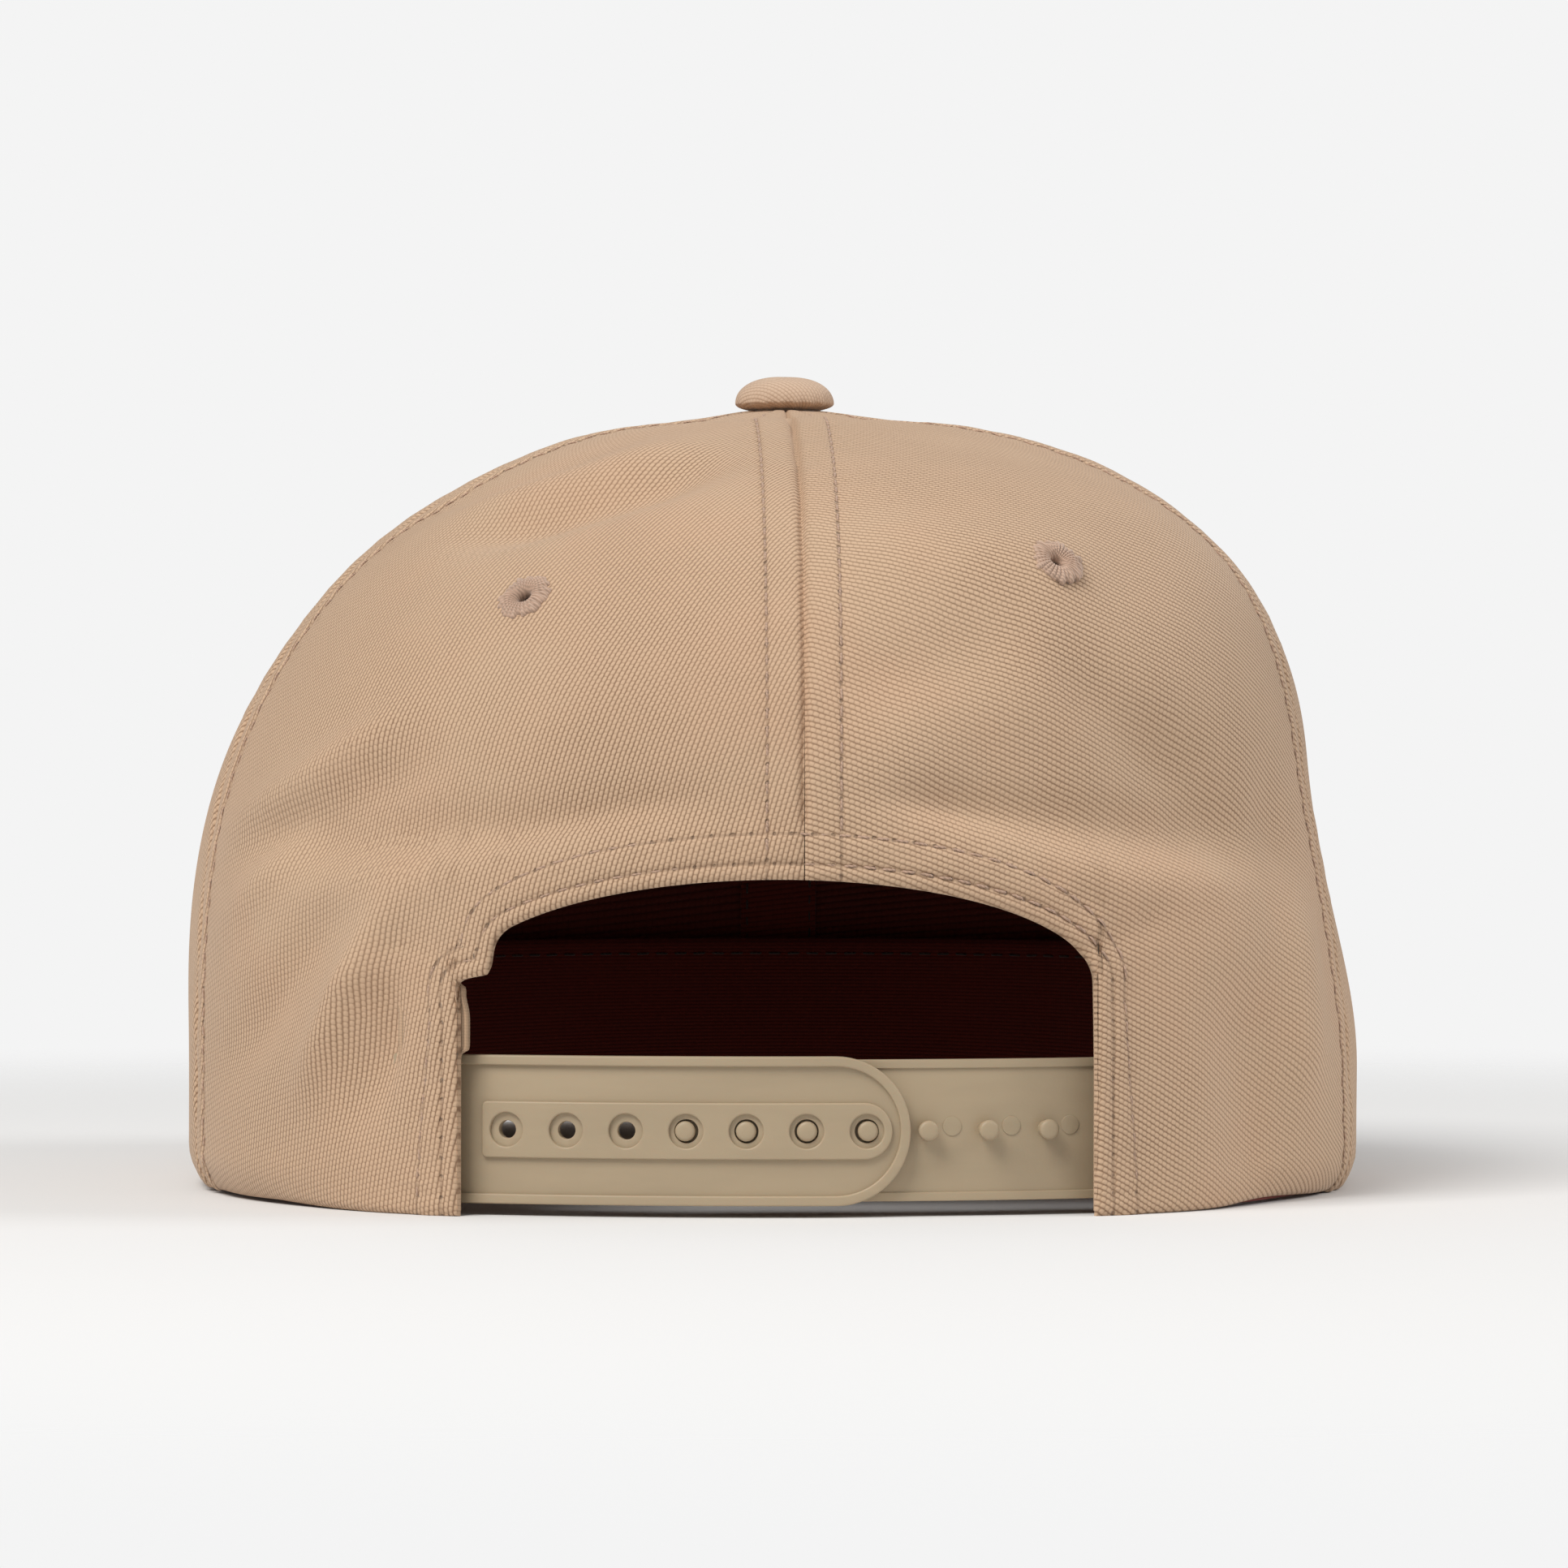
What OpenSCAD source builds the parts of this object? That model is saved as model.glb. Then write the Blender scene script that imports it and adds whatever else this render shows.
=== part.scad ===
// Baseball cap: six-panel twill crown, stiffened visor, sweatband, covered top
// button and a two-piece snap strap across the rear opening.
// Millimetres. +Z up, +Y towards the visor, +X towards the wearer's right.
// The origin is the centre of the head opening, in the plane the rim stands on.
// phi is the angle round the crown: 0 at the back, 90 at the wearer's right.

/* [Crown] */
// Height of the crown at its top
crown_h = 112; // [100:1:130]
// Half width of the crown on the wearer's left
half_left = 85.7; // [78:0.1:95]
// Half width of the crown on the wearer's right, above the flare
half_right = 77.7; // [72:0.1:92]
// Extra half width of the right side near the rim
flare_right = 6.3; // [0:0.1:10]
// Length of the crown behind its centre
half_back = 97; // [90:0.5:105]
// Length of the crown in front of its centre
half_front = 95; // [88:0.5:105]
// Squareness of the plan, where 2 is an ellipse
plan_power = 2.3; // [2:0.1:3]
// Squareness of the left shoulder, where 2 is round
shoulder_left = 2.8; // [2:0.1:5]
// Squareness of the right shoulder, where 2 is round
shoulder_right = 4.6; // [2:0.1:5]
// Sideways lean of the top button
lean = 1; // [-4:0.5:4]
// Rise of the front rim, where the visor is sewn on
front_rise = 10; // [4:0.5:14]
// Thickness of one panel of twill
cloth = 0.9; // [0.6:0.1:1.2]

/* [Seams] */
// Angle of the centre back seam
back_seam = 2; // [0:0.5:4]
// Angle of the side seams from the back
side_seam = 68; // [60:1:72]
// Angle of the front side seams from the back
front_seam = 122; // [116:1:126]
// Width of the seam tapes
tape_w = 12; // [8:0.5:13]

/* [Rear opening] */
// Half width of the rear opening
arch_half = 43; // [38:0.5:46]
// Height at which the straight sides of the opening end
arch_side = 31.5; // [28:0.5:34]
// Rise of the arch above its straight sides
arch_rise = 13.9; // [8:0.1:18]
// Width of the facing sewn round the opening
facing_w = 9; // [6:0.5:10]

/* [Straps] */
// Radius of the curve in which the straps lie
strap_r = 120; // [118:0.5:122]
// Height of the outer strap
strap_h = 20; // [18:0.5:20]
// Thickness of a strap
strap_t = 1.3; // [1.1:0.05:1.4]
// Height of the rim and bar above the outer strap's face
strap_raise = 0.6; // [0.3:0.1:0.7]
// Pitch of the holes and the pegs
peg_pitch = 8.05; // [7.5:0.05:8.5]
// Radius of a peg
peg_r = 1.35; // [1.1:0.05:1.4]
// Radius of a hole
hole_r = 1.75; // [1.7:0.05:1.9]

/* [Visor] */
// Length of the visor along its middle
visor_l = 70; // [55:1:80]
// Thickness of the visor board
board_t = 2; // [1.6:0.1:2.4]
// Rise of the visor's front edge between its two low sides
visor_arch = 8; // [4:0.5:10]

/* [Sweatband and button] */
// Height of the sweatband
band_h = 32; // [26:1:36]
// Radius of the top button
button_r = 7.2; // [6:0.1:9]
// Height of the top button
button_h = 5.2; // [4:0.1:7]
// Outer radius of an eyelet
eyelet_r = 3.8; // [3.2:0.1:4.4]

/* [Hidden] */

$fn = 48;
tan = "#c3a384";
lining = "#3a2a20";
plastic = "#bcae8f";
wall_z = 17;        // below this height the crown's wall is upright
dome_share = 0.86;  // share of a panel's rows that lie on the dome
flare_z = 62;       // the flare begins here
flare_drop = 45;    // and is complete this far below
lift_from = 95;     // the rim starts to rise at this angle
lift_z = 45;        // the rise fades out at this height
rim_roll = 2.6;     // how far the folded rim turns in
rim_roll_z = 6;     // over this height
flat_until = 32;    // the tabs by the rear opening don't turn in, up to this angle
roll_from = 55;     // and the rim is fully turned in from this one
dome_rows = 14;     // rows of facets on the dome of a panel
cols = 10;          // columns of facets in a panel
crown_top = 0.017;  // row at which the panels stop round the rivet
layer_gap = 0.2;    // clearance between sewn layers
band_gap = 0.8;     // and between the tapes and the sweatband's core
under = cloth + layer_gap;
facing_t = 0.6;
tape_depth = under + facing_t + layer_gap;
tape_t = 0.5;
core_depth = tape_depth + tape_t + band_gap;
core_t = 0.6;
band_depth = core_depth + core_t + layer_gap;
band_t = 0.8;
cover_t = 0.8;
eyelet_bore = 1.6;
strap_z = 11.6;                     // middle height of the straps
curve_y = 30;                       // the straps curve about this point
pivot_x = arch_half - 2;            // each strap bends just inside the tab's edge
outer_r = strap_r;                  // inner face of the outer strap
inner_r = strap_r - 0.3 - strap_t;  // inner face of the inner strap
inner_h = strap_h - 1;
first_hole = -36.35;
hole_count = 7;
first_peg = first_hole + 3 * peg_pitch;
tail_l = 10;
tip_x = 17.8;
inner_tip_x = -19;
panel_bore = 2.3;

// ---- crown surface ---------------------------------------------------------

function smooth(v) = let (c = min(1, max(0, v))) c * c * (3 - 2 * c);
function mix(a, b, w) = a + (b - a) * w;
function unit(v) = v / norm(v);
function from_back(phi) = abs(phi > 180 ? phi - 360 : phi);
function shoulder(phi) = mix(shoulder_left, shoulder_right, smooth(0.5 + 0.5 * sin(phi)));
function half_width(phi, z) =
    sin(phi) < 0 ? half_left : half_right + flare_right * smooth((flare_z - z) / flare_drop);
function half_length(phi) = cos(phi) > 0 ? half_back : half_front;
function plan_radius(phi, z, depth) = pow(
    pow(abs(sin(phi)) / (half_width(phi, z) - depth), plan_power)
    + pow(abs(cos(phi)) / (half_length(phi) - depth), plan_power), -1 / plan_power);
function dome(phi, z, depth) = sqrt(max(0,
    1 - pow(max(0, z - wall_z) / (crown_h - depth - wall_z), shoulder(phi))));
function roll_in(phi, z) = rim_roll * pow(max(0, 1 - z / rim_roll_z), 2)
    * smooth((from_back(phi) - flat_until) / (roll_from - flat_until));
function lift(phi, z) = front_rise
    * sin(90 * max(0, (from_back(phi) - lift_from) / (180 - lift_from)))
    * pow(max(0, 1 - z / lift_z), 2);

// The point of the crown at an angle and a height, at a depth below its face.
function crown(phi, z, depth) =
    let (r = plan_radius(phi, z, depth) * dome(phi, z, depth) - roll_in(phi, z))
    [r * sin(phi) + lean * pow(z / crown_h, 2), -r * cos(phi), z + lift(phi, z)];

// The same surface by row: 0 at the top, 1 at the rim.
function row_z(phi, row, depth) = row < dome_share
    ? wall_z + (crown_h - depth - wall_z)
        * pow(cos(90 * row / dome_share), 2 / shoulder(phi))
    : wall_z * (1 - row) / (1 - dome_share);
function row_at(phi, z) = z > wall_z
    ? dome_share / 90 * acos(pow((z - wall_z) / (crown_h - wall_z), shoulder(phi) / 2))
    : 1 - (1 - dome_share) * z / wall_z;

// Every layer breaks its facets at the same rows, so that the layers nest.
wall_breaks = [rim_roll_z, rim_roll_z * 0.45, 0];
row_list = concat(
    [for (i = [0:dome_rows]) mix(crown_top, dome_share, i / dome_rows)],
    [for (z = wall_breaks) 1 - (1 - dome_share) * z / wall_z]);
rows = len(row_list) - 1;
function crown_row(phi, row, depth) = crown(phi, row_z(phi, row, depth), depth);
function outward(phi, z) = unit(cross(
    crown(phi + 0.5, z, 0) - crown(phi - 0.5, z, 0),
    crown(phi, z + 0.5, 0) - crown(phi, z - 0.5, 0)));

// The angle at which the rear wall stands at x.
function phi_at(x) = atan2(x, half_back
    * pow(1 - pow(abs(x) / half_width(sign(x) * 45, 0), plan_power), 1 / plan_power));
arch_phi = phi_at(arch_half);

// ---- sheets ----------------------------------------------------------------

// A closed solid between two grids of points, an outer and an inner one.
module sheet(outer, inner) {
    n = len(outer);
    m = len(outer[0]);
    function at(i, j) = i * m + j;
    function quad(a, b, c, d) = [[a, b, c], [a, c, d]];
    back = n * m;
    faces = concat(
        [for (i = [0:n - 2], j = [0:m - 2])
            each quad(at(i, j), at(i, j + 1), at(i + 1, j + 1), at(i + 1, j))],
        [for (i = [0:n - 2], j = [0:m - 2])
            each quad(back + at(i, j), back + at(i + 1, j),
                      back + at(i + 1, j + 1), back + at(i, j + 1))],
        [for (j = [0:m - 2])
            each quad(at(0, j + 1), at(0, j), back + at(0, j), back + at(0, j + 1))],
        [for (j = [0:m - 2])
            each quad(at(n - 1, j), at(n - 1, j + 1),
                      back + at(n - 1, j + 1), back + at(n - 1, j))],
        [for (i = [0:n - 2])
            each quad(at(i, 0), at(i + 1, 0), back + at(i + 1, 0), back + at(i, 0))],
        [for (i = [0:n - 2])
            each quad(at(i + 1, m - 1), at(i, m - 1),
                      back + at(i, m - 1), back + at(i + 1, m - 1))]);
    polyhedron(
        points = concat([for (line = outer) each line], [for (line = inner) each line]),
        faces = faces);
}

// A stretch of the crown's wall between two angles and two places in row_list.
module crown_patch(phi0, phi1, first, last, depth, t, m) {
    function grid(d) = [for (i = [first:last]) [for (j = [0:m])
        crown_row(mix(phi0, phi1, j / m), row_list[i], d)]];
    sheet(grid(depth), grid(depth + t));
}

// Turns +Z to the crown's outward direction and moves to a point on its face.
module on_crown(phi, z) {
    n = outward(phi, z);
    translate(crown(phi, z, 0))
        rotate([0, acos(n[2]), atan2(n[1], n[0])])
            children();
}

// ---- panels ----------------------------------------------------------------

// The lower edge of a rear panel: along the arch, down the tab, then the rim.
arch_step = 8;
tab_step = 5;
rim_step = 5;
rear_cols = arch_step + tab_step + rim_step;
function seam_turn() = acos(crown_row(back_seam, 0.8, 0)[0] / arch_half);
function foot(side, k) =
    k <= arch_step
    ? let (e = mix(seam_turn(), side > 0 ? 0 : 180, k / arch_step),
           p = phi_at(arch_half * cos(e)))
      [p, row_at(p, arch_side + arch_rise * sin(e))]
    : k <= arch_step + tab_step
    ? let (z = arch_side * (1 - (k - arch_step) / tab_step), p = side * arch_phi)
      [p, row_at(p, z)]
    : [side * mix(arch_phi, side_seam, (k - arch_step - tab_step) / rim_step), 1];
function head(side, k) =
    k <= arch_step
    ? mix(back_seam, side * arch_phi, k / arch_step)
    : side * mix(arch_phi, side_seam, (k - arch_step) / (tab_step + rim_step));

module rear_panel(side) {
    function line(i, k, d) =
        let (f = foot(side, k), w = (row_list[i] - crown_top) / (1 - crown_top))
        crown_row(mix(head(side, k), f[0], w), mix(crown_top, f[1], w), d);
    function grid(d) = [for (i = [0:rows]) [for (j = [0:rear_cols])
        line(i, side > 0 ? j : rear_cols - j, d)]];
    color(tan)
        difference() {
            sheet(grid(0), grid(cloth));
            eyelet_hole(side > 0 ? rear_right_eyelet : rear_left_eyelet);
        }
}

module full_panel(phi0, phi1, eyelet) {
    color(tan)
        difference() {
            crown_patch(phi0, phi1, 0, rows, 0, cloth, cols);
            eyelet_hole(eyelet);
        }
}

module buckram(side) {
    gap = 3;
    lo = side > 0 ? front_seam + gap : 180 + gap / 2;
    hi = side > 0 ? 180 - gap / 2 : 360 - front_seam - gap;
    color(lining)
        difference() {
            crown_patch(lo, hi, 3, rows - 2, under, facing_t, cols);
            eyelet_hole(side > 0 ? front_eyelet : mirrored(front_eyelet));
        }
}

// ---- seam tapes and linings --------------------------------------------------

// A strip of constant width over a seam, inside the crown.
module seam_tape(phi, last) {
    first = 2.5;
    function half_angle(row) =
        let (p = crown_row(phi, row, tape_depth)) asin(tape_w / 2 / norm([p[0], p[1]]));
    tape_rows = concat([mix(crown_top, dome_share, first / dome_rows)],
                       [for (i = [3:last]) row_list[i]]);
    function grid(d) = [for (row = tape_rows)
        [for (s = [-1, 0, 1]) crown_row(phi + s * half_angle(row), row, d)]];
    color(lining)
        sheet(grid(tape_depth), grid(tape_depth + tape_t));
}

// The facing follows the opening: up one tab, round the arch, down the other.
module arch_facing() {
    steps = 14;
    function edge(k, w) =
        k < 3 ? [-arch_half - w, arch_side * k / 3]
        : k > steps + 3 ? [arch_half + w, arch_side * (steps + 6 - k) / 3]
        : let (e = 180 * (1 - (k - 3) / steps))
          [(arch_half + w) * cos(e), arch_side + (arch_rise + w) * sin(e)];
    function spot(k, w, d) =
        let (q = edge(k, w), p = phi_at(q[0])) crown_row(p, row_at(p, q[1]), d);
    function grid(d) = [for (w = [facing_w, facing_w / 2, 0.6])
        [for (k = [0:steps + 6]) spot(k, w, d)]];
    depth = under + 3 * layer_gap;
    color(tan)
        sheet(grid(depth), grid(depth + facing_t));
}

module band(depth, t, h) {
    start = 37;
    m = 40;
    heights = [h, wall_z, rim_roll_z, wall_breaks[1], 0.8];
    function grid(d) = [for (z = heights) [for (j = [0:m])
        crown(mix(start, 360 - start, j / m), z, d)]];
    color(lining)
        sheet(grid(depth), grid(depth + t));
}

module care_label() {
    depth = band_depth + band_t + 0.35;
    function grid(d) = [for (z = [wall_z + 9, wall_z, wall_z - 9])
        [for (phi = [294, 299, 304]) crown(phi, z, d)]];
    color("white")
        sheet(grid(depth), grid(depth + 0.3));
}

// ---- eyelets -----------------------------------------------------------------

// Each is an angle round the crown and a height; the two at the back differ in the photo.
rear_left_eyelet = [-25.9, 83.5];
rear_right_eyelet = [27.2, 87.5];
side_eyelet = [95, 84];
front_eyelet = [152, 88];

function mirrored(at) = [360 - at[0], at[1]];

module eyelet_hole(at) {
    phi = at[0];
    z = at[1];
    on_crown(phi, z)
        translate([0, 0, -4])
            cylinder(r = panel_bore, h = 6);
}

// Embroidered ring, gripping a stack of cloth as thick as `through`.
module eyelet(at, through) {
    phi = at[0];
    z = at[1];
    lip = 0.45;
    clear = 0.4;
    inside = -through - 0.9;
    color("#bb9a83")
        on_crown(phi, z)
            rotate_extrude()
                polygon([
                    [eyelet_bore, clear + lip], [eyelet_r - lip, clear + lip],
                    [eyelet_r, clear], [panel_bore - 0.15, clear],
                    [panel_bore - 0.15, inside],
                    [eyelet_r, inside],
                    [eyelet_r - lip, inside - lip],
                    [eyelet_bore, inside - lip]]);
}

// ---- top button --------------------------------------------------------------

button_z = crown_h + 0.05;
button_foot = 1.4;

// Outline of the button, shrunk by d all round: foot, bulge, then dome.
function button_outline(d) = concat(
    [[0, 0], [button_r - 1 - d, 0]],
    [for (a = [-40:20:80]) [
        (button_r - d) * pow(cos(a), 0.8),
        button_foot + (a < 0 ? button_foot : button_h - button_foot - d) * sin(a)]],
    [[0, button_h - d]]);

module button_layer(d, t) {
    translate([lean, 0, button_z])
        rotate_extrude()
            difference() {
                polygon(button_outline(d));
                polygon(button_outline(d + t));
            }
}

module button_cover() {
    color(tan)
        button_layer(0, 0.7);
}

module button_shell() {
    color("silver")
        button_layer(0.8, 0.5);
}

module button_rivet() {
    color("silver")
        translate([lean, 0, 0]) {
            translate([0, 0, button_z - 3.6])
                cylinder(r = 1.2, h = 3.6 + button_h - 1.4);
            translate([0, 0, button_z + button_h - 2.4])
                cylinder(r = 2.8, h = 0.8);
        }
}

module button_washer() {
    washer_z = crown_h - cloth - 1.4;
    color("silver")
        translate([lean, 0, washer_z])
            difference() {
                cylinder(r = 6, h = 0.8);
                translate([0, 0, -1])
                    cylinder(r = 1.25, h = 3);
            }
}

// ---- visor -------------------------------------------------------------------

visor_half_angle = 66;
visor_end = 0.985;
visor_spread = 0.3;
low_at = 0.82;

// Reach of the visor at a place across it, a from -1 to 1.
function visor_reach(a) = visor_l * pow(1 - pow(abs(a), 4), 0.75);

// A point of the visor, b from 0 at the crown to 1 at the edge, z above its underside.
function visor_point(a, b, z) =
    let (phi = 180 + visor_half_angle * a,
         root = crown(phi, 0, -0.3 - rim_roll),
         reach = visor_reach(a),
         rise = visor_arch * pow(1 - pow(a / low_at, 2), 2))
    [root[0] - visor_spread * a * reach * b,
     root[1] + reach * b,
     mix(root[2], rise, b) + z];

module visor_layer(z, t, inset) {
    n = 6;
    m = 22;
    function grid(h) = [for (i = [0:n]) [for (j = [0:m])
        let (a = visor_end * mix(-1, 1, j / m),
             b = i / n * (1 - inset / visor_reach(a)))
        visor_point(a, b, h)]];
    sheet(grid(z + t), grid(z));
}

module visor_under_cover() {
    color(tan)
        visor_layer(0, cover_t, 0);
}

module visor_board() {
    color("white")
        visor_layer(cover_t, board_t, 1.5);
}

module visor_top_cover() {
    color(tan)
        visor_layer(cover_t + board_t, cover_t, 0);
}

// ---- snap strap --------------------------------------------------------------

// Part of a curved wall, seen through an outline in X and Z.
module curved(r, t) {
    intersection() {
        translate([0, curve_y, 0])
            difference() {
                cylinder(r = r + t, h = 40);
                translate([0, 0, -1])
                    cylinder(r = r, h = 42);
            }
        translate([0, -60, strap_z])
            rotate([90, 0, 0])
                linear_extrude(height = 50)
                    children();
    }
}

// Strap outline from x0 to a round tip at x1.
module tongue(x0, x1, h) {
    translate([x0, -h / 2])
        square([x1 - h / 2 - x0, h]);
    translate([x1 - h / 2, 0])
        circle(r = h / 2);
}

// Points away from the straps' centre of curvature at x, on radius r.
module on_strap(x, r) {
    translate([0, curve_y, strap_z])
        rotate([90, 0, asin(x / r)])
            translate([0, 0, r])
                children();
}

module knuckle(side, r, h) {
    mid = r + strap_t / 2;
    translate([side * pivot_x, curve_y - sqrt(mid * mid - pivot_x * pivot_x), strap_z - h / 2])
        cylinder(r = strap_t / 2, h = h);
}

module outer_strap() {
    rim = 1.3;
    bar_h = 7.6;
    bar_start = first_hole - 3.3;
    bar_end = first_hole + (hole_count - 1) * peg_pitch + bar_h / 2 - 0.4;
    face = outer_r + strap_t;
    color(plastic) {
        difference() {
            union() {
                curved(outer_r, strap_t)
                    tongue(-pivot_x, tip_x, strap_h);
                curved(face - 0.05, strap_raise + 0.05)
                    difference() {
                        tongue(-pivot_x + 0.6, tip_x, strap_h);
                        tongue(-pivot_x - 2, tip_x - rim, strap_h - 2 * rim);
                    }
                curved(face - 0.05, strap_raise + 0.05)
                    tongue(bar_start, bar_end, bar_h);
                knuckle(-1, outer_r, strap_h);
            }
            for (k = [0:hole_count - 1])
                on_strap(first_hole + k * peg_pitch, face) {
                    translate([0, 0, -5])
                        cylinder(r = hole_r, h = 10);
                    translate([0, 0, strap_raise - 0.8])
                        cylinder(r = 2.5, h = 3);
                }
        }
    }
}

module inner_strap() {
    face = inner_r + strap_t;
    color(plastic) {
        curved(inner_r, strap_t)
            mirror([1, 0])
                tongue(-pivot_x, -inner_tip_x, inner_h);
        knuckle(1, inner_r, inner_h);
        for (k = [0:hole_count - 1])
            on_strap(first_peg + k * peg_pitch, face)
                translate([0, 0, -0.5])
                    rotate_extrude()
                        polygon([[0, 0], [peg_r, 0], [peg_r, 2], [peg_r - 0.5, 2.8],
                                 [0, 2.8]]);
    }
}

// The end of a strap that is sewn in behind the tab.
module strap_tail(side, r, h) {
    start = pivot_x + 1;
    color(plastic)
        curved(r, strap_t)
            translate([side > 0 ? start : -start - tail_l, -h / 2])
                square([tail_l, h]);
}

// ---- the cap -----------------------------------------------------------------

rear_panel(-1);  // rear_panel_left
rear_panel(1);  // rear_panel_right
full_panel(360 - front_seam, 360 - side_seam, mirrored(side_eyelet));  // side_panel_left
full_panel(side_seam, front_seam, side_eyelet);  // side_panel_right
full_panel(180, 360 - front_seam, mirrored(front_eyelet));  // front_panel_left
full_panel(front_seam, 180, front_eyelet);  // front_panel_right
buckram(-1);  // buckram_left
buckram(1);  // buckram_right
seam_tape(back_seam, 12);  // tape_back
seam_tape(-side_seam, rows - 1);  // tape_side_left
seam_tape(side_seam, rows - 1);  // tape_side_right
seam_tape(-front_seam, rows - 1);  // tape_front_left
seam_tape(front_seam, rows - 1);  // tape_front_right
seam_tape(180, rows - 1);  // tape_front
arch_facing();
band(band_depth, band_t, band_h);  // sweatband
band(core_depth, core_t, band_h - 3);  // sweatband_core
care_label();
visor_top_cover();
visor_board();
visor_under_cover();
button_cover();
button_shell();
button_rivet();
button_washer();
eyelet(rear_left_eyelet, cloth);  // eyelet_rear_left
eyelet(rear_right_eyelet, cloth);  // eyelet_rear_right
eyelet(mirrored(side_eyelet), cloth);  // eyelet_side_left
eyelet(side_eyelet, cloth);  // eyelet_side_right
eyelet(mirrored(front_eyelet), under + facing_t);  // eyelet_front_left
eyelet(front_eyelet, under + facing_t);  // eyelet_front_right
outer_strap();
inner_strap();
strap_tail(-1, outer_r, strap_h);  // outer_strap_tail
strap_tail(1, inner_r, inner_h);  // inner_strap_tail
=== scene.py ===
import math

import bmesh
import bpy
import numpy as np
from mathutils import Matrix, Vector


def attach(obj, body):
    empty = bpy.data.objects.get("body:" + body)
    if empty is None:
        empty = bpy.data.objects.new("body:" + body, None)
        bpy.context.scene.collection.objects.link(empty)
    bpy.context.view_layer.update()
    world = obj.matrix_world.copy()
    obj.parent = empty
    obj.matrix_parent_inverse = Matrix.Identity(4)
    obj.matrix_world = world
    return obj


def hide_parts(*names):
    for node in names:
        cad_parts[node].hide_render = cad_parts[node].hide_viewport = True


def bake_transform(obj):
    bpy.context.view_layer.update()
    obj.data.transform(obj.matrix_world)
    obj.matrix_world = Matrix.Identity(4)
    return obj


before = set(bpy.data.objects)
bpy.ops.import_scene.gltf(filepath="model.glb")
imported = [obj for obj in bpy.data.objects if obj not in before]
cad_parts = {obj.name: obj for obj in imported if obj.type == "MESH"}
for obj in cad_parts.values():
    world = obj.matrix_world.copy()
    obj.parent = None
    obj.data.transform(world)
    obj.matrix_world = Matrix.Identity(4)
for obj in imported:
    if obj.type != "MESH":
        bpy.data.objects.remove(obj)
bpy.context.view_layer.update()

# Lengths are in millimetres until make_mesh() turns them into metres.
MM = 0.001

# ---- driving dimensions, the same as the CAD model's --------------------------

CROWN_H = 112.0
HALF_LEFT, HALF_RIGHT, FLARE_RIGHT = 85.7, 77.7, 6.3
HALF_BACK, HALF_FRONT = 97.0, 95.0
PLAN_POWER = 2.3
SHOULDER_LEFT, SHOULDER_RIGHT = 2.8, 4.6
LEAN = 1.0
FRONT_RISE = 10.0
WALL_Z, DOME_SHARE = 17.0, 0.86
FLARE_Z, FLARE_DROP = 62.0, 45.0
LIFT_FROM, LIFT_Z = 95.0, 45.0
RIM_ROLL, RIM_ROLL_Z = 2.6, 6.0
FLAT_UNTIL, ROLL_FROM = 32.0, 55.0
CROWN_TOP = 0.017
CLOTH = 0.9

BACK_SEAM, SIDE_SEAM, FRONT_SEAM = 2.0, 68.0, 122.0
ARCH_HALF, ARCH_SIDE, ARCH_RISE = 43.0, 31.5, 13.9
TAB_SHARE = 0.2       # share of the opening's edge that runs up each tab

STRAP_R, STRAP_T, STRAP_Z, CURVE_Y = 120.0, 1.3, 11.6, 30.0
STRAP_H, INNER_H = 20.0, 19.0
PEG_PITCH, FIRST_HOLE, HOLES, OPEN_HOLES = 8.05, -36.35, 7, 3
TIP_X, INNER_TIP_X = 17.8, -19.0
PIVOT_X = ARCH_HALF - 2
TAIL_X, BEND_HALF = 52.0, 3.0
STRAP_GAP = 0.3       # between the two straps, which lie one behind the other
BAR_H, BAR_PAST, RAISE = 7.6, 3.3, 0.6
RECESS_R, FREE_BORE_R, FILLED_BORE_R = 2.3, 1.2, 1.6

VISOR_HALF_ANGLE, VISOR_END, VISOR_L = 66.0, 0.985, 70.0
VISOR_SPREAD, VISOR_ARCH, LOW_AT = 0.3, 8.0, 0.82
VISOR_T = 3.6

EYELETS = {"rear_left": (-25.9, 83.5), "rear_right": (27.2, 87.5),
           "side_left": (265.0, 84.0), "side_right": (95.0, 84.0),
           "front_left": (208.0, 88.0), "front_right": (152.0, 88.0)}
EYELET_R, BORE_CUT = 3.75, 2.7
BUTTON_R, BUTTON_H, BUTTON_FOOT, BUTTON_Z = 7.2, 5.2, 1.4, CROWN_H + 0.05

UNDER, FACING_T = 1.1, 0.6
TAPE_W, TAPE_DEPTH, TAPE_T = 12.0, 1.9, 0.5
CORE_DEPTH, CORE_T = 3.2, 0.6
BAND_DEPTH, BAND_T, BAND_H = 4.0, 0.8, 32.0
BAND_START = 37.0

# ---- sewing -------------------------------------------------------------------

VISOR_ROWS, VISOR_FIRST, VISOR_STEP = 8, 5.0, 6.5
STITCH = 2.6          # pitch of the topstitching
THREAD_R = 0.17       # radius of the thread
SEAM_ROW = 5.0        # a topstitch row runs this far each side of a seam
ARCH_ROWS = (2.1, 6.1)
TAB_ROWS = (2.4, 6.4)
FAR = 50.0            # stands for no stitch row near
CORNER_ROW = 4.4      # the far row comes this close where the arch meets the tab


# ---- crown surface ------------------------------------------------------------

def smooth(v):
    """A soft step from 0 to 1."""
    v = np.clip(v, 0, 1)
    return v * v * (3 - 2 * v)


def mix(a, b, w):
    """From a at w = 0 to b at w = 1."""
    return a + (b - a) * w


def bell(v, width):
    """A soft hump, 1 high, at v = 0."""
    return np.exp(-(v / width) ** 2)


def together(a, b):
    """Two inputs as float arrays of one shape."""
    return np.broadcast_arrays(np.asarray(a, float), np.asarray(b, float))


def sind(a):
    return np.sin(np.radians(a))


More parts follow.
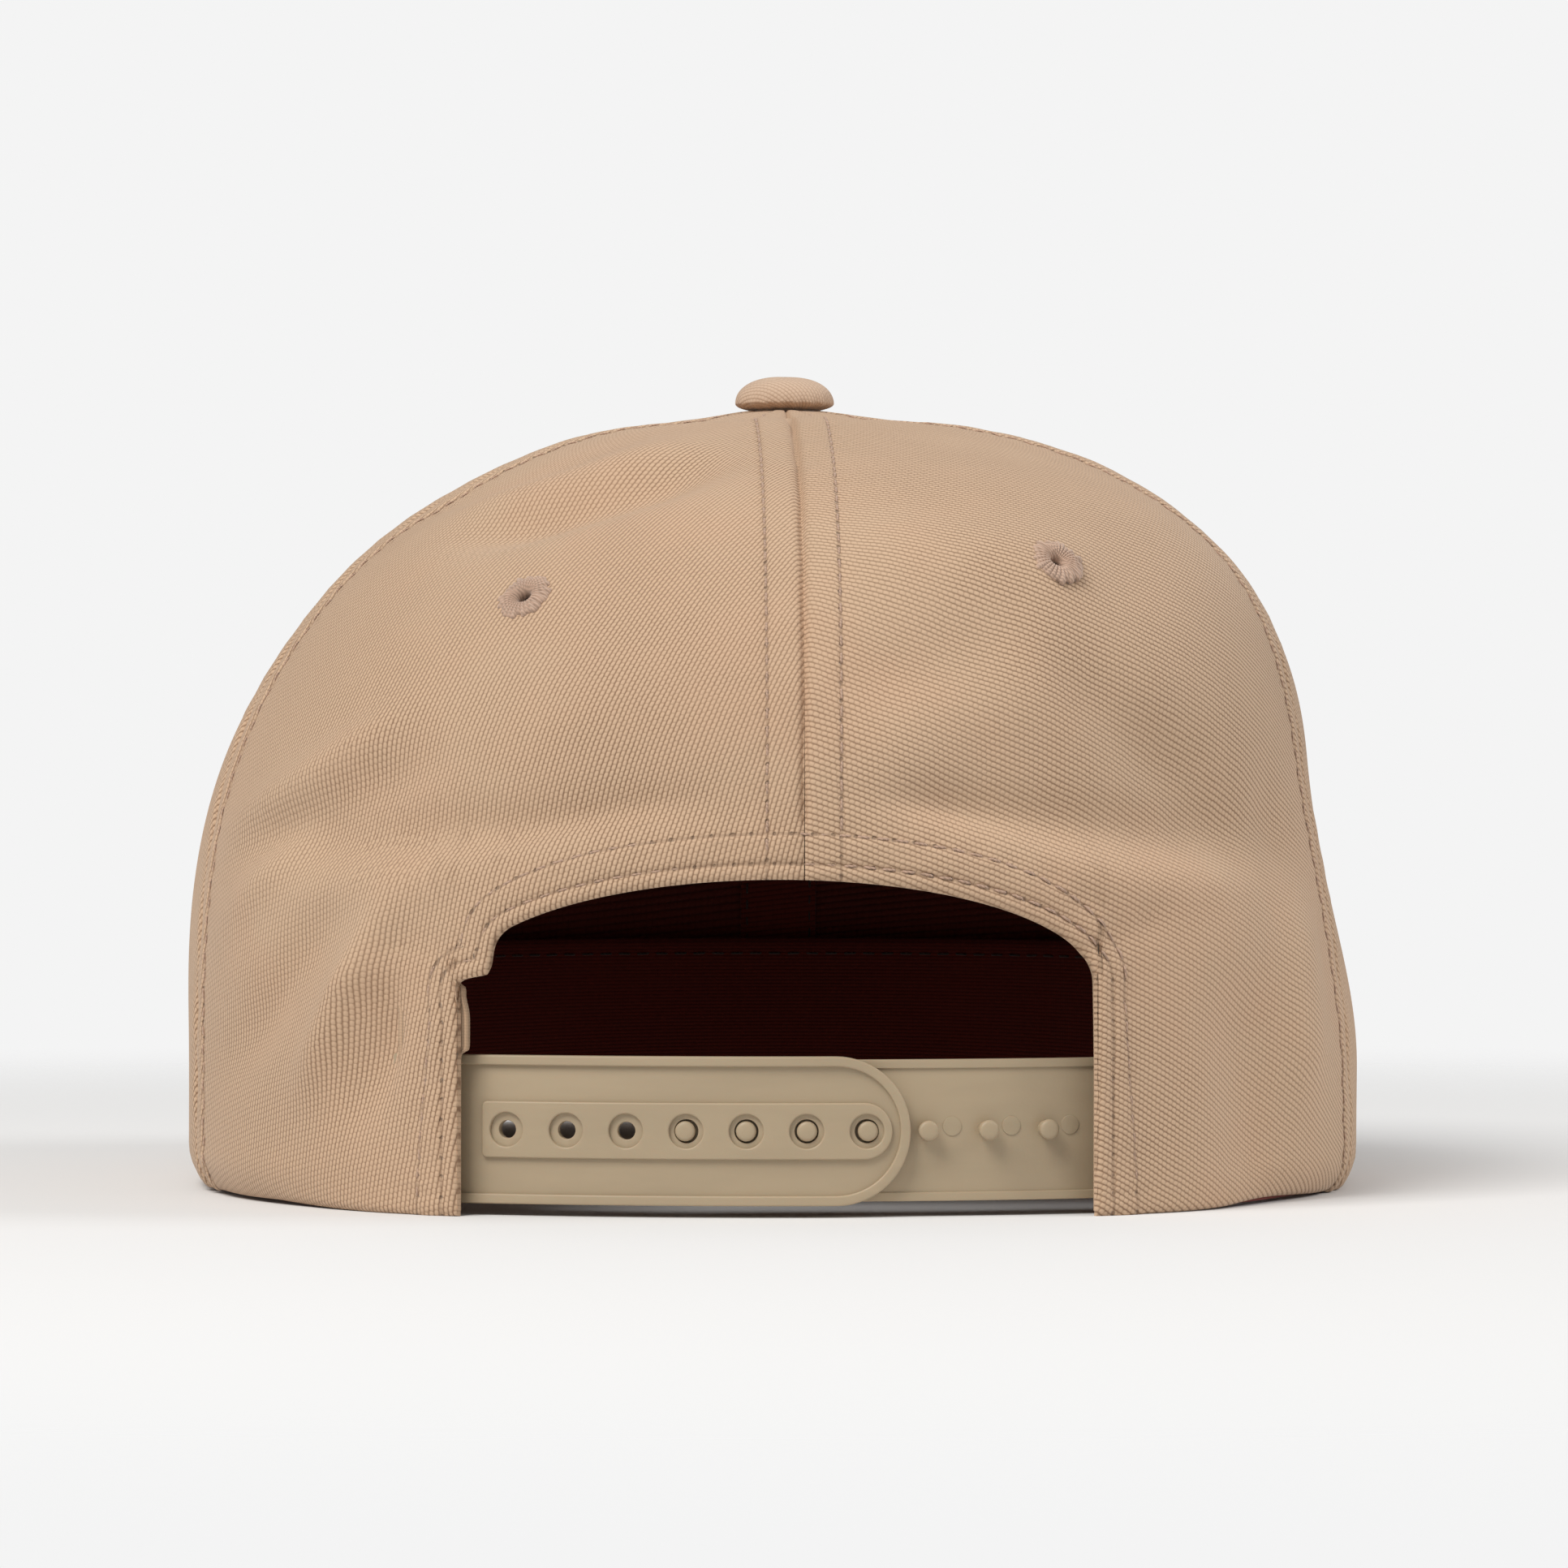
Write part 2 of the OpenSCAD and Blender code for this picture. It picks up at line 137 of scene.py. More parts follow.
def cosd(a):
    return np.cos(np.radians(a))


def run_along(path):
    """Distance along a path from its first point to each of its points."""
    return np.concatenate([[0], np.cumsum(np.linalg.norm(np.diff(path, axis=0), axis=1))])


def from_back(phi):
    """Degrees away from the back, 0 to 180."""
    return np.abs(np.where(phi > 180, phi - 360, phi))


def shoulder(phi):
    """How square the dome's shoulder is: more so at the wearer's right."""
    return mix(SHOULDER_LEFT, SHOULDER_RIGHT, smooth(0.5 + 0.5 * sind(phi)))


def crown(phi, z, depth=0.0):
    """The crown at an angle (0 at the back, 90 at the wearer's right) and a height."""
    phi, z = together(phi, z)
    s, c = sind(phi), cosd(phi)
    flare = FLARE_RIGHT * smooth((FLARE_Z - z) / FLARE_DROP)
    half_x = np.where(s < 0, HALF_LEFT, HALF_RIGHT + flare) - depth
    half_y = np.where(c > 0, HALF_BACK, HALF_FRONT) - depth
    plan = ((np.abs(s) / half_x) ** PLAN_POWER + (np.abs(c) / half_y) ** PLAN_POWER)
    up = np.clip((z - WALL_Z) / (CROWN_H - depth - WALL_Z), 0, 1) ** shoulder(phi)
    roll = RIM_ROLL * np.clip(1 - z / RIM_ROLL_Z, 0, 1) ** 2
    roll = roll * smooth((from_back(phi) - FLAT_UNTIL) / (ROLL_FROM - FLAT_UNTIL))
    r = plan ** (-1 / PLAN_POWER) * np.sqrt(1 - up) - roll
    lift = FRONT_RISE * sind(90 * np.clip((from_back(phi) - LIFT_FROM) / (180 - LIFT_FROM), 0, 1))
    lift = lift * np.clip(1 - z / LIFT_Z, 0, 1) ** 2
    return np.stack([r * s + LEAN * (z / CROWN_H) ** 2, -r * c, z + lift], -1)


def row_z(phi, row, depth=0.0):
    """Height of a row: rows run evenly down the dome, from 0 at the top, and then down the
    wall to 1 at the rim."""
    on_dome = WALL_Z + (CROWN_H - depth - WALL_Z) * np.clip(
        cosd(90 * np.clip(row / DOME_SHARE, 0, 1)), 1e-9, 1) ** (2 / shoulder(phi))
    return np.where(row < DOME_SHARE, on_dome, WALL_Z * (1 - row) / (1 - DOME_SHARE))


def row_at(phi, z):
    """The row at a height."""
    up = np.clip((z - WALL_Z) / (CROWN_H - WALL_Z), 0, 1)
    dome = DOME_SHARE / 90 * np.degrees(np.arccos(up ** (shoulder(phi) / 2)))
    return np.where(z > WALL_Z, dome, 1 - (1 - DOME_SHARE) * z / WALL_Z)


def crown_row(phi, row, depth=0.0):
    """The crown at an angle and a row."""
    return crown(phi, row_z(phi, row, depth), depth)


def unit(v):
    return v / np.maximum(np.linalg.norm(v, axis=-1, keepdims=True), 1e-12)


def outward(phi, row):
    """The crown's outward direction, from rows on the dome and from heights on the wall."""
    d_phi, d_row, d_z = 0.4, 0.004, 0.3
    phi, row = together(phi, row)
    lo = np.maximum(row - d_row, 0.006)
    hi = np.minimum(row + d_row, 1.0)
    z = row_z(phi, row)
    along = crown_row(phi + d_phi, row) - crown_row(phi - d_phi, row)
    on_dome = crown_row(phi, hi) - crown_row(phi, lo)
    on_wall = crown(phi, np.maximum(z - d_z, 0)) - crown(phi, z + d_z)
    down = np.where((row > 0.55)[..., None], on_wall, on_dome)
    return unit(np.cross(down, along))


def phi_at(x):
    """The angle at which the rear wall stands at x."""
    x = np.asarray(x, float)
    half = np.where(x < 0, HALF_LEFT, HALF_RIGHT + FLARE_RIGHT)
    y = HALF_BACK * (1 - (np.abs(x) / half) ** PLAN_POWER) ** (1 / PLAN_POWER)
    return np.degrees(np.arctan2(x, y))


def behind(x, z):
    """The angle and the row of the rear wall's point at x and z."""
    phi = phi_at(x)
    return phi, row_at(phi, z)


def corner_tuck(k):
    """How far the cloth bulges into the opening where the arch ends at the left tab,
    and how far the tab's edge draws back just below."""
    bulge = 3.4 * smooth((k - TAB_SHARE) / 0.02) * smooth((0.31 - k) / 0.08)
    back = 0.6 * bell(k - 0.19, 0.012) * (k < TAB_SHARE)
    return back - bulge


def opening_edge(k, w=0.0):
    """The rear opening's edge for k from 0 at the left tab's foot to 1 at the right one's,
    moved out into the cloth by w. Returns x and z."""
    k = np.asarray(k, float)
    w = w + corner_tuck(k)
    e = math.pi * (1 - np.clip((k - TAB_SHARE) / (1 - 2 * TAB_SHARE), 0, 1))
    x = (ARCH_HALF + w) * np.cos(e)
    z = ARCH_SIDE + (ARCH_RISE + w) * np.sin(e)
    z = np.where(k < TAB_SHARE, ARCH_SIDE * k / TAB_SHARE, z)
    z = np.where(k > 1 - TAB_SHARE, ARCH_SIDE * (1 - k) / TAB_SHARE, z)
    return x, z


def edge_at_angle(e):
    """The opening's edge by its angle on the arch, 0 at the right and 180 at the left."""
    share = 1 - np.asarray(e, float) / math.pi
    return opening_edge(TAB_SHARE + (1 - 2 * TAB_SHARE) * share)


EDGE_K = np.linspace(0, 1, 700)
EDGE_X, EDGE_Z = opening_edge(EDGE_K)
EDGE_PHI = phi_at(EDGE_X)
EDGE_POINTS = crown(EDGE_PHI, EDGE_Z)
EDGE_RUN = run_along(EDGE_POINTS)
SEAM_X = float(crown(BACK_SEAM, ARCH_SIDE + ARCH_RISE)[0])


def edge_distance(points):
    """Distance from each point to the opening's edge, the run along it, and the share k."""
    flat = points.reshape(-1, 3)
    best = np.full(len(flat), 1e9)
    where = np.zeros(len(flat), int)
    for start in range(0, len(flat), 4000):
        part = flat[start:start + 4000]
        d = np.linalg.norm(part[:, None, :] - EDGE_POINTS[None, ::2, :], axis=2)
        j = d.argmin(1)
        best[start:start + 4000] = d[np.arange(len(part)), j]
        where[start:start + 4000] = j * 2
    shape = points.shape[:-1]
    return best.reshape(shape), EDGE_RUN[where].reshape(shape), EDGE_K[where].reshape(shape)


def opening_rows(k):
    """How far the two stitch rows run from the edge: closer on the tabs than on the arch."""
    side = np.minimum(k, 1 - k)
    near = mix(TAB_ROWS[0], ARCH_ROWS[0], smooth((side - 0.17) / 0.1))
    low = mix(TAB_ROWS[1], CORNER_ROW, smooth(side / TAB_SHARE))
    return [near, mix(low, ARCH_ROWS[1], smooth((side - TAB_SHARE) / 0.2))]


# ---- how the sewn cloth rises and sinks -----------------------------------------

# Soft folds of the rear panels, as seen from behind: both ends (x, z), half width, height.
FOLDS = [
    # tucks at the opening's corners
    ((38, 34), (50, 39.5), 1.3, -1.5),
    ((39, 31), (51, 35.5), 1.6, 0.9),
    ((-40, 34.5), (-52, 36.5), 1.5, -1.3),
    ((-49, 34), (-62, 30), 2.0, 0.8),
    # the long hollow above the arch
    ((-72, 49.5), (-10, 53.8), 4.2, -2.4),
    ((-66, 44.5), (-14, 49), 3.8, 0.8),
    ((14, 55), (66, 50), 4.4, -2.6),
    ((20, 61), (60, 57), 8.5, -2.2),
    ((-60, 55), (-16, 60), 7.0, -1.3),
    ((16, 47.5), (66, 44.5), 4.0, 0.8),
    # below the right eyelet
    ((38, 76), (68, 48), 5.0, -2.0),
    ((8, 90), (44, 88), 6.0, 1.7),
    ((8, 71), (34, 78), 6.0, -1.6),
    # beside the button
    ((-44, 92.5), (-8, 102), 2.4, -3.0),
    ((-46, 96.5), (-10, 105.5), 2.0, 1.5),
    ((-52, 96), (-22, 105), 1.6, -1.2),
    # the left side
    ((-77, 51), (-50, 68), 2.6, 1.7),
    ((-72, 50), (-46, 62), 3.0, -1.3),
    ((-77, 38), (-64, 53), 2.2, 1.6),
    ((-65, 16), (-53, 42), 2.4, 2.3),
    ((-76, 18), (-60, 42), 3.5, -2.1),
    ((-58, 12), (-46, 38), 3.4, -2.2),
    # the right side
    ((63, 34), (67, 0), 5.5, -2.5),
    ((72, 44), (74, 14), 3.0, 1.7),
    ((68, 60), (72, 44), 2.5, -1.2),
    ((55, 35), (70, 33), 9.0, 1.6),
]


def folds(points):
    """Height of the soft folds at points of the rear panels."""
    x, z = points[..., 0], points[..., 2]
    total = np.zeros(x.shape)
    for (x0, z0), (x1, z1), width, height in FOLDS:
        dx, dz = x1 - x0, z1 - z0
        length = math.hypot(dx, dz)
        along = ((x - x0) * dx + (z - z0) * dz) / length
        across = ((x - x0) * -dz + (z - z0) * dx) / length
        fade = smooth((along + 6) / 16) * smooth((length + 6 - along) / 16)
        total += height * fade * bell(across, width)
    return total * smooth(-points[..., 1] / 20)


def unevenness(points):
    """Slow waves of soft cotton, a few tenths of a millimetre high."""
    x, y, z = (points[..., i] for i in range(3))
    waves = ((0.071, 0.052, 0.043, 0.3), (-0.045, 0.083, 0.061, 1.9), (0.102, -0.037, 0.091, 4.2),
             (0.029, 0.11, -0.12, 2.6), (0.17, 0.05, 0.06, 0.9), (-0.06, 0.15, 0.13, 5.1))
    uneven = sum(0.11 * np.sin(a * x + b * y + c * z + d) for a, b, c, d in waves)
    return uneven - 0.8 * bell(np.hypot(x - LEAN, y) - 17, 8) * (z > WALL_Z)


def seam_height(d, run):
    """Height of the cloth at a distance from a seam: the needle line pulls in, the
    allowance underneath lifts a flat strip out to the stitch row, and stitches pucker it."""
    strip = 0.38 * smooth((SEAM_ROW + 0.7 - d) / 0.9)
    valley = -0.95 * bell(d, 0.55) - 0.25 * bell(d, 1.6)
    groove = -0.3 * bell(d - SEAM_ROW, 0.42)
    pucker = 0.1 * np.cos(2 * math.pi * run / (2 * STITCH)) * bell(d - SEAM_ROW - 0.6, 1.5)
    pucker += 0.12 * np.sin(run * 0.47 + 0.8 * np.sin(run * 0.13)) * bell(d - 1.8, 1.6)
    return strip + valley + groove + pucker


def edge_height(e, run, k):
    """Height of the cloth near the rear opening: a turned edge with two stitch rows."""
    near, far = opening_rows(k)
    hem = 0.42 * smooth((far + 0.8 - e) / 1.0)
    turn = -(0.95 - np.sqrt(np.clip(0.95 ** 2 - np.clip(0.95 - e, 0, 0.95) ** 2, 0, None)))
    grooves = -0.3 * bell(e - near, 0.42) - 0.32 * bell(e - far, 0.42)
    pucker = 0.1 * np.cos(math.pi * run / STITCH) * bell(e - far - 0.5, 1.4)
    pucker += 0.11 * np.sin(run * 0.55 + 1.1) * bell(e - 0.5 * (near + far), 1.5)
    return hem + turn + grooves + pucker


def rim_height(points):
    """The rim is a fold, rounded on the outside."""
    r = np.clip(points[..., 2], 0, 1.2)
    return -(1.2 - np.sqrt(np.clip(1.44 - (1.2 - r) ** 2, 0, None))) * 0.8


# ---- meshes -----------------------------------------------------------------------

def make_mesh(name, points, faces, material, body="crown", replaces=(),
              layers=None, sharp=50, joint=None):
    """A piece from points in millimetres. layers are UV maps given point by point."""
    mesh = bpy.data.meshes.new(name)
    points = np.asarray(points, float).reshape(-1, 3) * MM
    if isinstance(faces, np.ndarray):
        faces = faces.tolist()
    mesh.from_pydata(points.tolist(), [], faces)
    mesh.validate()
    loops = np.zeros(len(mesh.loops), int)
    mesh.loops.foreach_get("vertex_index", loops)
    for layer, values in (layers or {}).items():
        uv = mesh.uv_layers.new(name=layer)
        uv.data.foreach_set("uv", values.reshape(-1, 2)[loops].astype(np.float32).ravel())
    mesh.polygons.foreach_set("use_smooth", [True] * len(mesh.polygons))
    if sharp:
        mesh.set_sharp_from_angle(angle=math.radians(sharp))
    mesh.materials.append(material)
    piece = bpy.data.objects.new(name, mesh)
    bpy.context.scene.collection.objects.link(piece)
    if joint:
        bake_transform(piece)
    else:
        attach(piece, body)
    if replaces:
        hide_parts(*replaces)
    return piece


def quads(n, m, offset=0, flip=False):
    """Faces of a grid of n rows of m points."""
    i, j = np.meshgrid(np.arange(n - 1), np.arange(m - 1), indexing="ij")
    a = offset + i * m + j
    f = np.stack([a, a + 1, a + m + 1, a + m], -1).reshape(-1, 4)
    return f[:, ::-1] if flip else f


def shell(outer, inner, hole=None):
    """Faces of a closed sheet between two grids: a row runs down, a column to the right
    as seen from outside. hole marks the quads that are cut out."""
    n, m = outer.shape[:2]
    back = n * m
    keep = np.ones((n - 1, m - 1), bool) if hole is None else ~hole
    faces = [quads(n, m, 0, True)[keep.ravel()], quads(n, m, back, False)[keep.ravel()]]
    for i, j in np.argwhere(~keep):
        a, b, c, d = i * m + j, i * m + j + 1, (i + 1) * m + j + 1, (i + 1) * m + j
        around = ((i - 1, j, a, b), (i, j + 1, b, c), (i + 1, j, c, d), (i, j - 1, d, a))
        walls = [[p, q, back + q, back + p] for k, l, p, q in around if keep[k, l]]
        if walls:
            faces.append(np.array(walls)[:, ::-1])
    top = np.arange(m - 1)
    end = (n - 1) * m + top
    left = np.arange(n - 1) * m
    right = left + m - 1
    faces.append(np.stack([top, top + 1, back + top + 1, back + top], -1))
    faces.append(np.stack([end + 1, end, back + end, back + end + 1], -1))
    faces.append(np.stack([left + m, left, back + left, back + left + m], -1))
    faces.append(np.stack([right, right + m, back + right + m, back + right], -1))
    points = np.concatenate([outer.reshape(-1, 3), inner.reshape(-1, 3)])
    return points, np.concatenate(faces)


def double(values):
    """A UV map for both faces of a closed sheet."""
    flat = values.reshape(-1, values.shape[-1])
    return np.concatenate([flat, flat])


class Panel:
    """A panel's measure: the cloth's width along each row, and the way back to an angle."""

    def __init__(self, phi0, phi1):
        self.phi0, self.phi1 = phi0, phi1
        wall = row_at(90.0, np.linspace(60, WALL_Z + 0.02, 90))
        self.rows = np.unique(np.concatenate([np.linspace(CROWN_TOP, 1, 220), wall]))
        self.angles = np.linspace(phi0, phi1, 200)
        p = crown_row(self.angles[None, :], self.rows[:, None])
        steps = np.linalg.norm(np.diff(p, axis=1), axis=2)
        self.run = np.concatenate([np.zeros((len(self.rows), 1)), np.cumsum(steps, 1)], 1)
        self.width = self.run[:, -1]
        self.shares = np.linspace(0, 1, 160)
        self.back = np.array([np.interp(self.shares * w, r, self.angles)
                              for w, r in zip(self.width, self.run)])
        self.fall = run_along(p[:, p.shape[1] // 2])

    def width_at(self, row):
        return np.interp(row, self.rows, self.width)

    def fall_at(self, row):
        return np.interp(row, self.rows, self.fall)

    def row_for_fall(self, fall):
        return np.interp(fall, self.fall, self.rows)

    def angle(self, run, row):
        """The angle at a distance along the row from the first seam."""
        share = np.clip(run / self.width_at(row), 0, 1) * (len(self.shares) - 1)
        return lookup(self.back, self.place(row), share)

    def run_at(self, phi, row):
        """The distance along the row from the first seam to an angle."""
        phi, row = together(phi, row)
        last = len(self.angles) - 1
        share = (phi - self.phi0) / (self.phi1 - self.phi0) * last
        return lookup(self.run, self.place(row), np.clip(share, 0, last))

    def place(self, row):
        """Where a row lies among the measured rows."""
        return np.interp(row, self.rows, np.arange(len(self.rows)))


def lookup(table, at, share):
    """A table's value at a place between its rows and its columns."""
    i = np.clip(at.astype(int), 0, table.shape[0] - 2)
    j = np.clip(share.astype(int), 0, table.shape[1] - 2)
    u, v = at - i, share - j
    return (table[i, j] * (1 - u) * (1 - v) + table[i + 1, j] * u * (1 - v)
            + table[i, j + 1] * (1 - u) * v + table[i + 1, j + 1] * u * v)


# Columns beside a seam, as distances from it: close together at the needle line, at the
# stitch row and at the end of the allowance.
BAND = np.array([0, 0.18, 0.4, 0.7, 1.1, 1.6, 2.3, 3.1, 3.9, 4.4, 4.7, 4.9, 5.1, 5.3, 5.6,
                 6.1, 6.9, 8.2])
# Rows above a back panel's edge, close together at the turned edge and at both stitch rows.
FOOT = np.array([0, 0.12, 0.3, 0.55, 0.9, 1.3, 1.65, 1.9, 2.1, 2.3, 2.5, 2.8, 3.4, 4.0, 4.4,
                 4.8, 5.2, 5.5, 5.8, 6.05, 6.3, 6.6, 7.2, 8.2, 9.8])
# Rows above the rim of the other panels.
RIM_ROWS = np.array([3, 2, 1.2, 0.7, 0.3, 0])
ROWS_ABOVE = 92       # rows of a back panel above those at its edge


def squeeze(width):
    """Near the top, where a panel is narrow, the bands at its seams shrink to fit."""
    return np.minimum(1, width / (2 * BAND[-1] + 6))


def cloth_surface(panel, phi, row, run, rear):
    """Points of the finished cloth, its back face, and its UV maps: the weave, the distance
    to and along the stitch rows beside the seams, and the same for the opening's rows."""
    base = crown_row(phi, row)
    n = outward(phi, row)
    width = panel.width_at(row)
    fall = panel.fall_at(row)
    fit = squeeze(width)
    left, right = run, width - run
    height = (seam_height(left / fit, fall) + seam_height(right / fit, fall + 1.3)) * fit
    height += rim_height(base) + unevenness(base)
    body = np.zeros(phi.shape)
    near_row = np.where(left < right, left, right)
    stitch_d = near_row - SEAM_ROW * fit
    hem_d, hem_run = np.full(phi.shape, FAR), np.zeros(phi.shape)
    if rear:
        e, edge_run, k = edge_distance(base)
        e_rows = opening_rows(k)
        inside = smooth((12 - e) / 4)
        height = mix(height, height * 0.35, smooth((8.5 - e) / 1.5))
        height += edge_height(e, edge_run, k)
        from_side = SIDE_SEAM - np.minimum(from_back(phi), SIDE_SEAM)
        body += folds(base) * (1 - 0.7 * inside) * smooth(from_side / 9)
        from_near, from_far = e_rows[0] - e, e - e_rows[1]
        hem_d = np.where(np.abs(from_near) < np.abs(from_far), from_near, from_far)
        hem_run = edge_run
    outer = base + n * (height + body)[..., None]
    inner = base + n * (body - CLOTH)[..., None]
    layers = {"weave": double(np.stack([run - width / 2, fall], -1)),
              "stitch": double(np.stack([stitch_d, fall], -1)),
              "hem": double(np.stack([hem_d, hem_run], -1))}
    return outer, inner, layers


def eyelet_cut(base, eyelet):
    """The quads of a grid that an eyelet's bore removes."""
    near = np.linalg.norm(base - crown(*eyelet), axis=2) < BORE_CUT
    return near[:-1, :-1] & near[1:, :-1] & near[:-1, 1:] & near[1:, 1:]


def full_panel(name, node, phi0, phi1, material, eyelet):
    """A side or front panel: a grid with fine columns along both seams."""
    panel = Panel(phi0, phi1)
    total = panel.fall[-1]
    falls = np.concatenate([np.linspace(0, total - 4, 112), total - RIM_ROWS])
    row = panel.row_for_fall(falls)[:, None]
    width = panel.width_at(row)
    fit = squeeze(width)
    middle = np.linspace(0, 1, 50)[None, 1:-1]
    lo = BAND[None, :] * fit
    hi = width - BAND[None, ::-1] * fit
    run = np.concatenate([lo, mix(lo[:, -1:], hi[:, :1], middle), hi], 1)
    row = np.broadcast_to(row, run.shape)
    phi = panel.angle(run, row)
    outer, inner, layers = cloth_surface(panel, phi, row, run, False)
    points, faces = shell(outer, inner, eyelet_cut(crown_row(phi, row), eyelet))
    piece = make_mesh(name, points, faces, material, replaces=[node],
                      layers=layers)
    return panel


class Columns:
    """The columns of a back panel's grid. They fan out from the top to the arch, the tab
    and the rim, and their distances are taken from the centre seam."""

    def __init__(self, panel, side):
        self.panel, self.side = panel, side
        seam = np.arccos(np.clip((SEAM_X + side * BAND) / ARCH_HALF, -1, 1))
        arch = mix(seam[-1], 0.0 if side > 0 else math.pi, np.linspace(0, 1, 60)[1:])
        tab = (TAB_SHARE - 0.0005) * (1 - np.linspace(0, 1, 40)[1:])
        edges = [edge_at_angle(seam), edge_at_angle(arch),
                 opening_edge(tab if side < 0 else 1 - tab)]
        runs, rows = zip(*[self.spot(x, z) for x, z in edges])
        rim = panel.width_at(1.0)
        past_tab = mix(runs[2][-1], rim - BAND[-1], np.linspace(0, 1, 30)[1:])
        side_seam = rim - BAND[::-1][1:]
        self.foot_run = np.concatenate([*runs, past_tab, side_seam])
        self.foot_row = np.concatenate([*rows, np.ones(len(past_tab) + len(side_seam))])
        # the columns between the bands at both seams, as shares of the way across
        arch_share = (runs[1][-1] - BAND[-1]) / (rim - 2 * BAND[-1])
        beyond = len(tab) + len(past_tab)
        self.shares = np.concatenate([np.linspace(0, arch_share, len(arch) + 1)[1:],
                                      np.linspace(arch_share, 1, beyond + 1)[1:]])

    def flip(self, run, row):
        """Distance from the panel's first edge to distance from the centre seam, or back."""
        return run if self.side > 0 else self.panel.width_at(row) - run

    def spot(self, x, z):
        phi, row = behind(x, z)
        return self.flip(self.panel.run_at(phi, row), row), row

    def along(self, index, share):
        """Distance and row along a column, share from 0 at the top to 1 at its foot."""
        row = mix(CROWN_TOP, self.foot_row[index], share)
        width = self.panel.width_at(row)
        fit = squeeze(width)
        inner = index - len(BAND)
        between = 0 <= inner < len(self.shares)
        if inner < 0:
            free = BAND[index] * fit
        elif between:
            free = mix(BAND[-1] * fit, width - BAND[-1] * fit, self.shares[inner])
        else:
            free = width - BAND[::-1][1:][inner - len(self.shares)] * fit
        return mix(free, self.foot_run[index], share ** (3 if between else 10)), row

    def grid(self):
        """Distances from the panel's first edge, and rows, of the whole grid."""
        runs, rows = [], []
        for index, foot in enumerate(self.foot_row):
            shares = (self.panel.rows[self.panel.rows < foot] - CROWN_TOP) / (foot - CROWN_TOP)
            shares = np.append(shares, 1.0)
            run, row = self.along(index, shares)
            length = run_along(crown_row(self.panel.angle(self.flip(run, row), row), row))
            at = np.concatenate([np.linspace(0, length[-1] - FOOT[-1] - 1.2, ROWS_ABOVE),
                                 length[-1] - FOOT[::-1]])
            run, row = self.along(index, np.interp(at, length, shares))
            runs.append(self.flip(run, row))
            rows.append(row)
        return np.stack(runs[::self.side], 1), np.stack(rows[::self.side], 1)


def rear_panel(name, node, side, material, eyelet):
    """A back panel, cut away round the rear opening."""
    panel = Panel(BACK_SEAM, SIDE_SEAM) if side > 0 else Panel(-SIDE_SEAM, BACK_SEAM)
    run, row = Columns(panel, side).grid()
    phi = panel.angle(run, row)
    outer, inner, layers = cloth_surface(panel, phi, row, run, True)
    points, faces = shell(outer, inner, eyelet_cut(crown_row(phi, row), eyelet))
    piece = make_mesh(name, points, faces, material, replaces=[node],
                      layers=layers)
    return panel


# ---- thread -----------------------------------------------------------------------

def stitches(name, paths, material, pitch=STITCH):
    """Separate stitches along paths; a path is (points, outward directions)."""
    rings, sides = 7, 6
    gap, lift = 0.8, 0.05     # between two stitches, and above the cloth
    points, faces = [], []
    count = 0
    turn = np.linspace(0, 2 * math.pi, sides, endpoint=False)
    u = np.linspace(0, 1, rings)
    bow = 1 - (2 * u - 1) ** 4
    thick = np.sqrt(np.clip(1 - 0.82 * (2 * u - 1) ** 8, 0, 1))
    for path, normal in paths:
        run = run_along(path)
        for k in range(int(run[-1] / pitch)):
            wobble = 0.05 * math.sin(k * 2.4)
            at = (k + 0.5) * pitch + (u - 0.5) * (pitch - gap)
            p = np.stack([np.interp(at, run, path[:, i]) for i in range(3)], -1)
            n = unit(np.stack([np.interp(at, run, normal[:, i]) for i in range(3)], -1))
            t = unit(np.gradient(p, axis=0))
            side = unit(np.cross(t, n))
            p = p + n * (bow * (THREAD_R * 0.9 + lift) - THREAD_R * 0.75)[:, None]
            p = p + side * (wobble * (2 * u - 1))[:, None]
            ring = (side[:, None, :] * np.cos(turn)[None, :, None]
                    + n[:, None, :] * np.sin(turn)[None, :, None] * 0.85)
            ring = p[:, None, :] + ring * (THREAD_R * thick)[:, None, None]
            points.append(ring.reshape(-1, 3))
            first = count + np.arange(rings - 1)[:, None] * sides
            a = first + np.arange(sides)
            b = first + (np.arange(sides) + 1) % sides
            faces += np.stack([a, b, b + sides, a + sides], -1).reshape(-1, 4).tolist()
            faces.append([count + i for i in range(sides)][::-1])
            faces.append([count + (rings - 1) * sides + i for i in range(sides)])
            count += rings * sides
    return make_mesh(name, np.concatenate(points), faces, material, sharp=0)


def seam_path(panel, from_left, rear, start_fall=9.0, end_gap=2.0, end_row=1.0):
    """The stitch row beside one seam of a panel, on the finished cloth."""
    stop = panel.fall_at(end_row) - end_gap
    fall = np.arange(start_fall, stop, 0.5)
    row = panel.row_for_fall(fall)
    width = panel.width_at(row)
    run = SEAM_ROW * squeeze(width)
    run = run if from_left else width - run
    phi = panel.angle(run, row)
    outer, _, _ = cloth_surface(panel, phi, row, run, rear)
    return outer, outward(phi, row)


def opening_path(which, k0, k1):
    """A stitch row round the rear opening, from share k0 to k1 of its edge."""
    k = np.linspace(k0, k1, 500)
    w = opening_rows(k)[which]
    for _ in range(8):
        phi, row = behind(*opening_edge(k, w - corner_tuck(k)))
        p = crown_row(phi, row)
        e, run, share = edge_distance(p)
        w = w + opening_rows(share)[which] - e
    n = outward(phi, row)
    height = edge_height(e, run, share) + folds(p) * 0.3 + unevenness(p)
    return p + n * height[:, None], n


# ---- eyelets and button ---------------------------------------------------------------

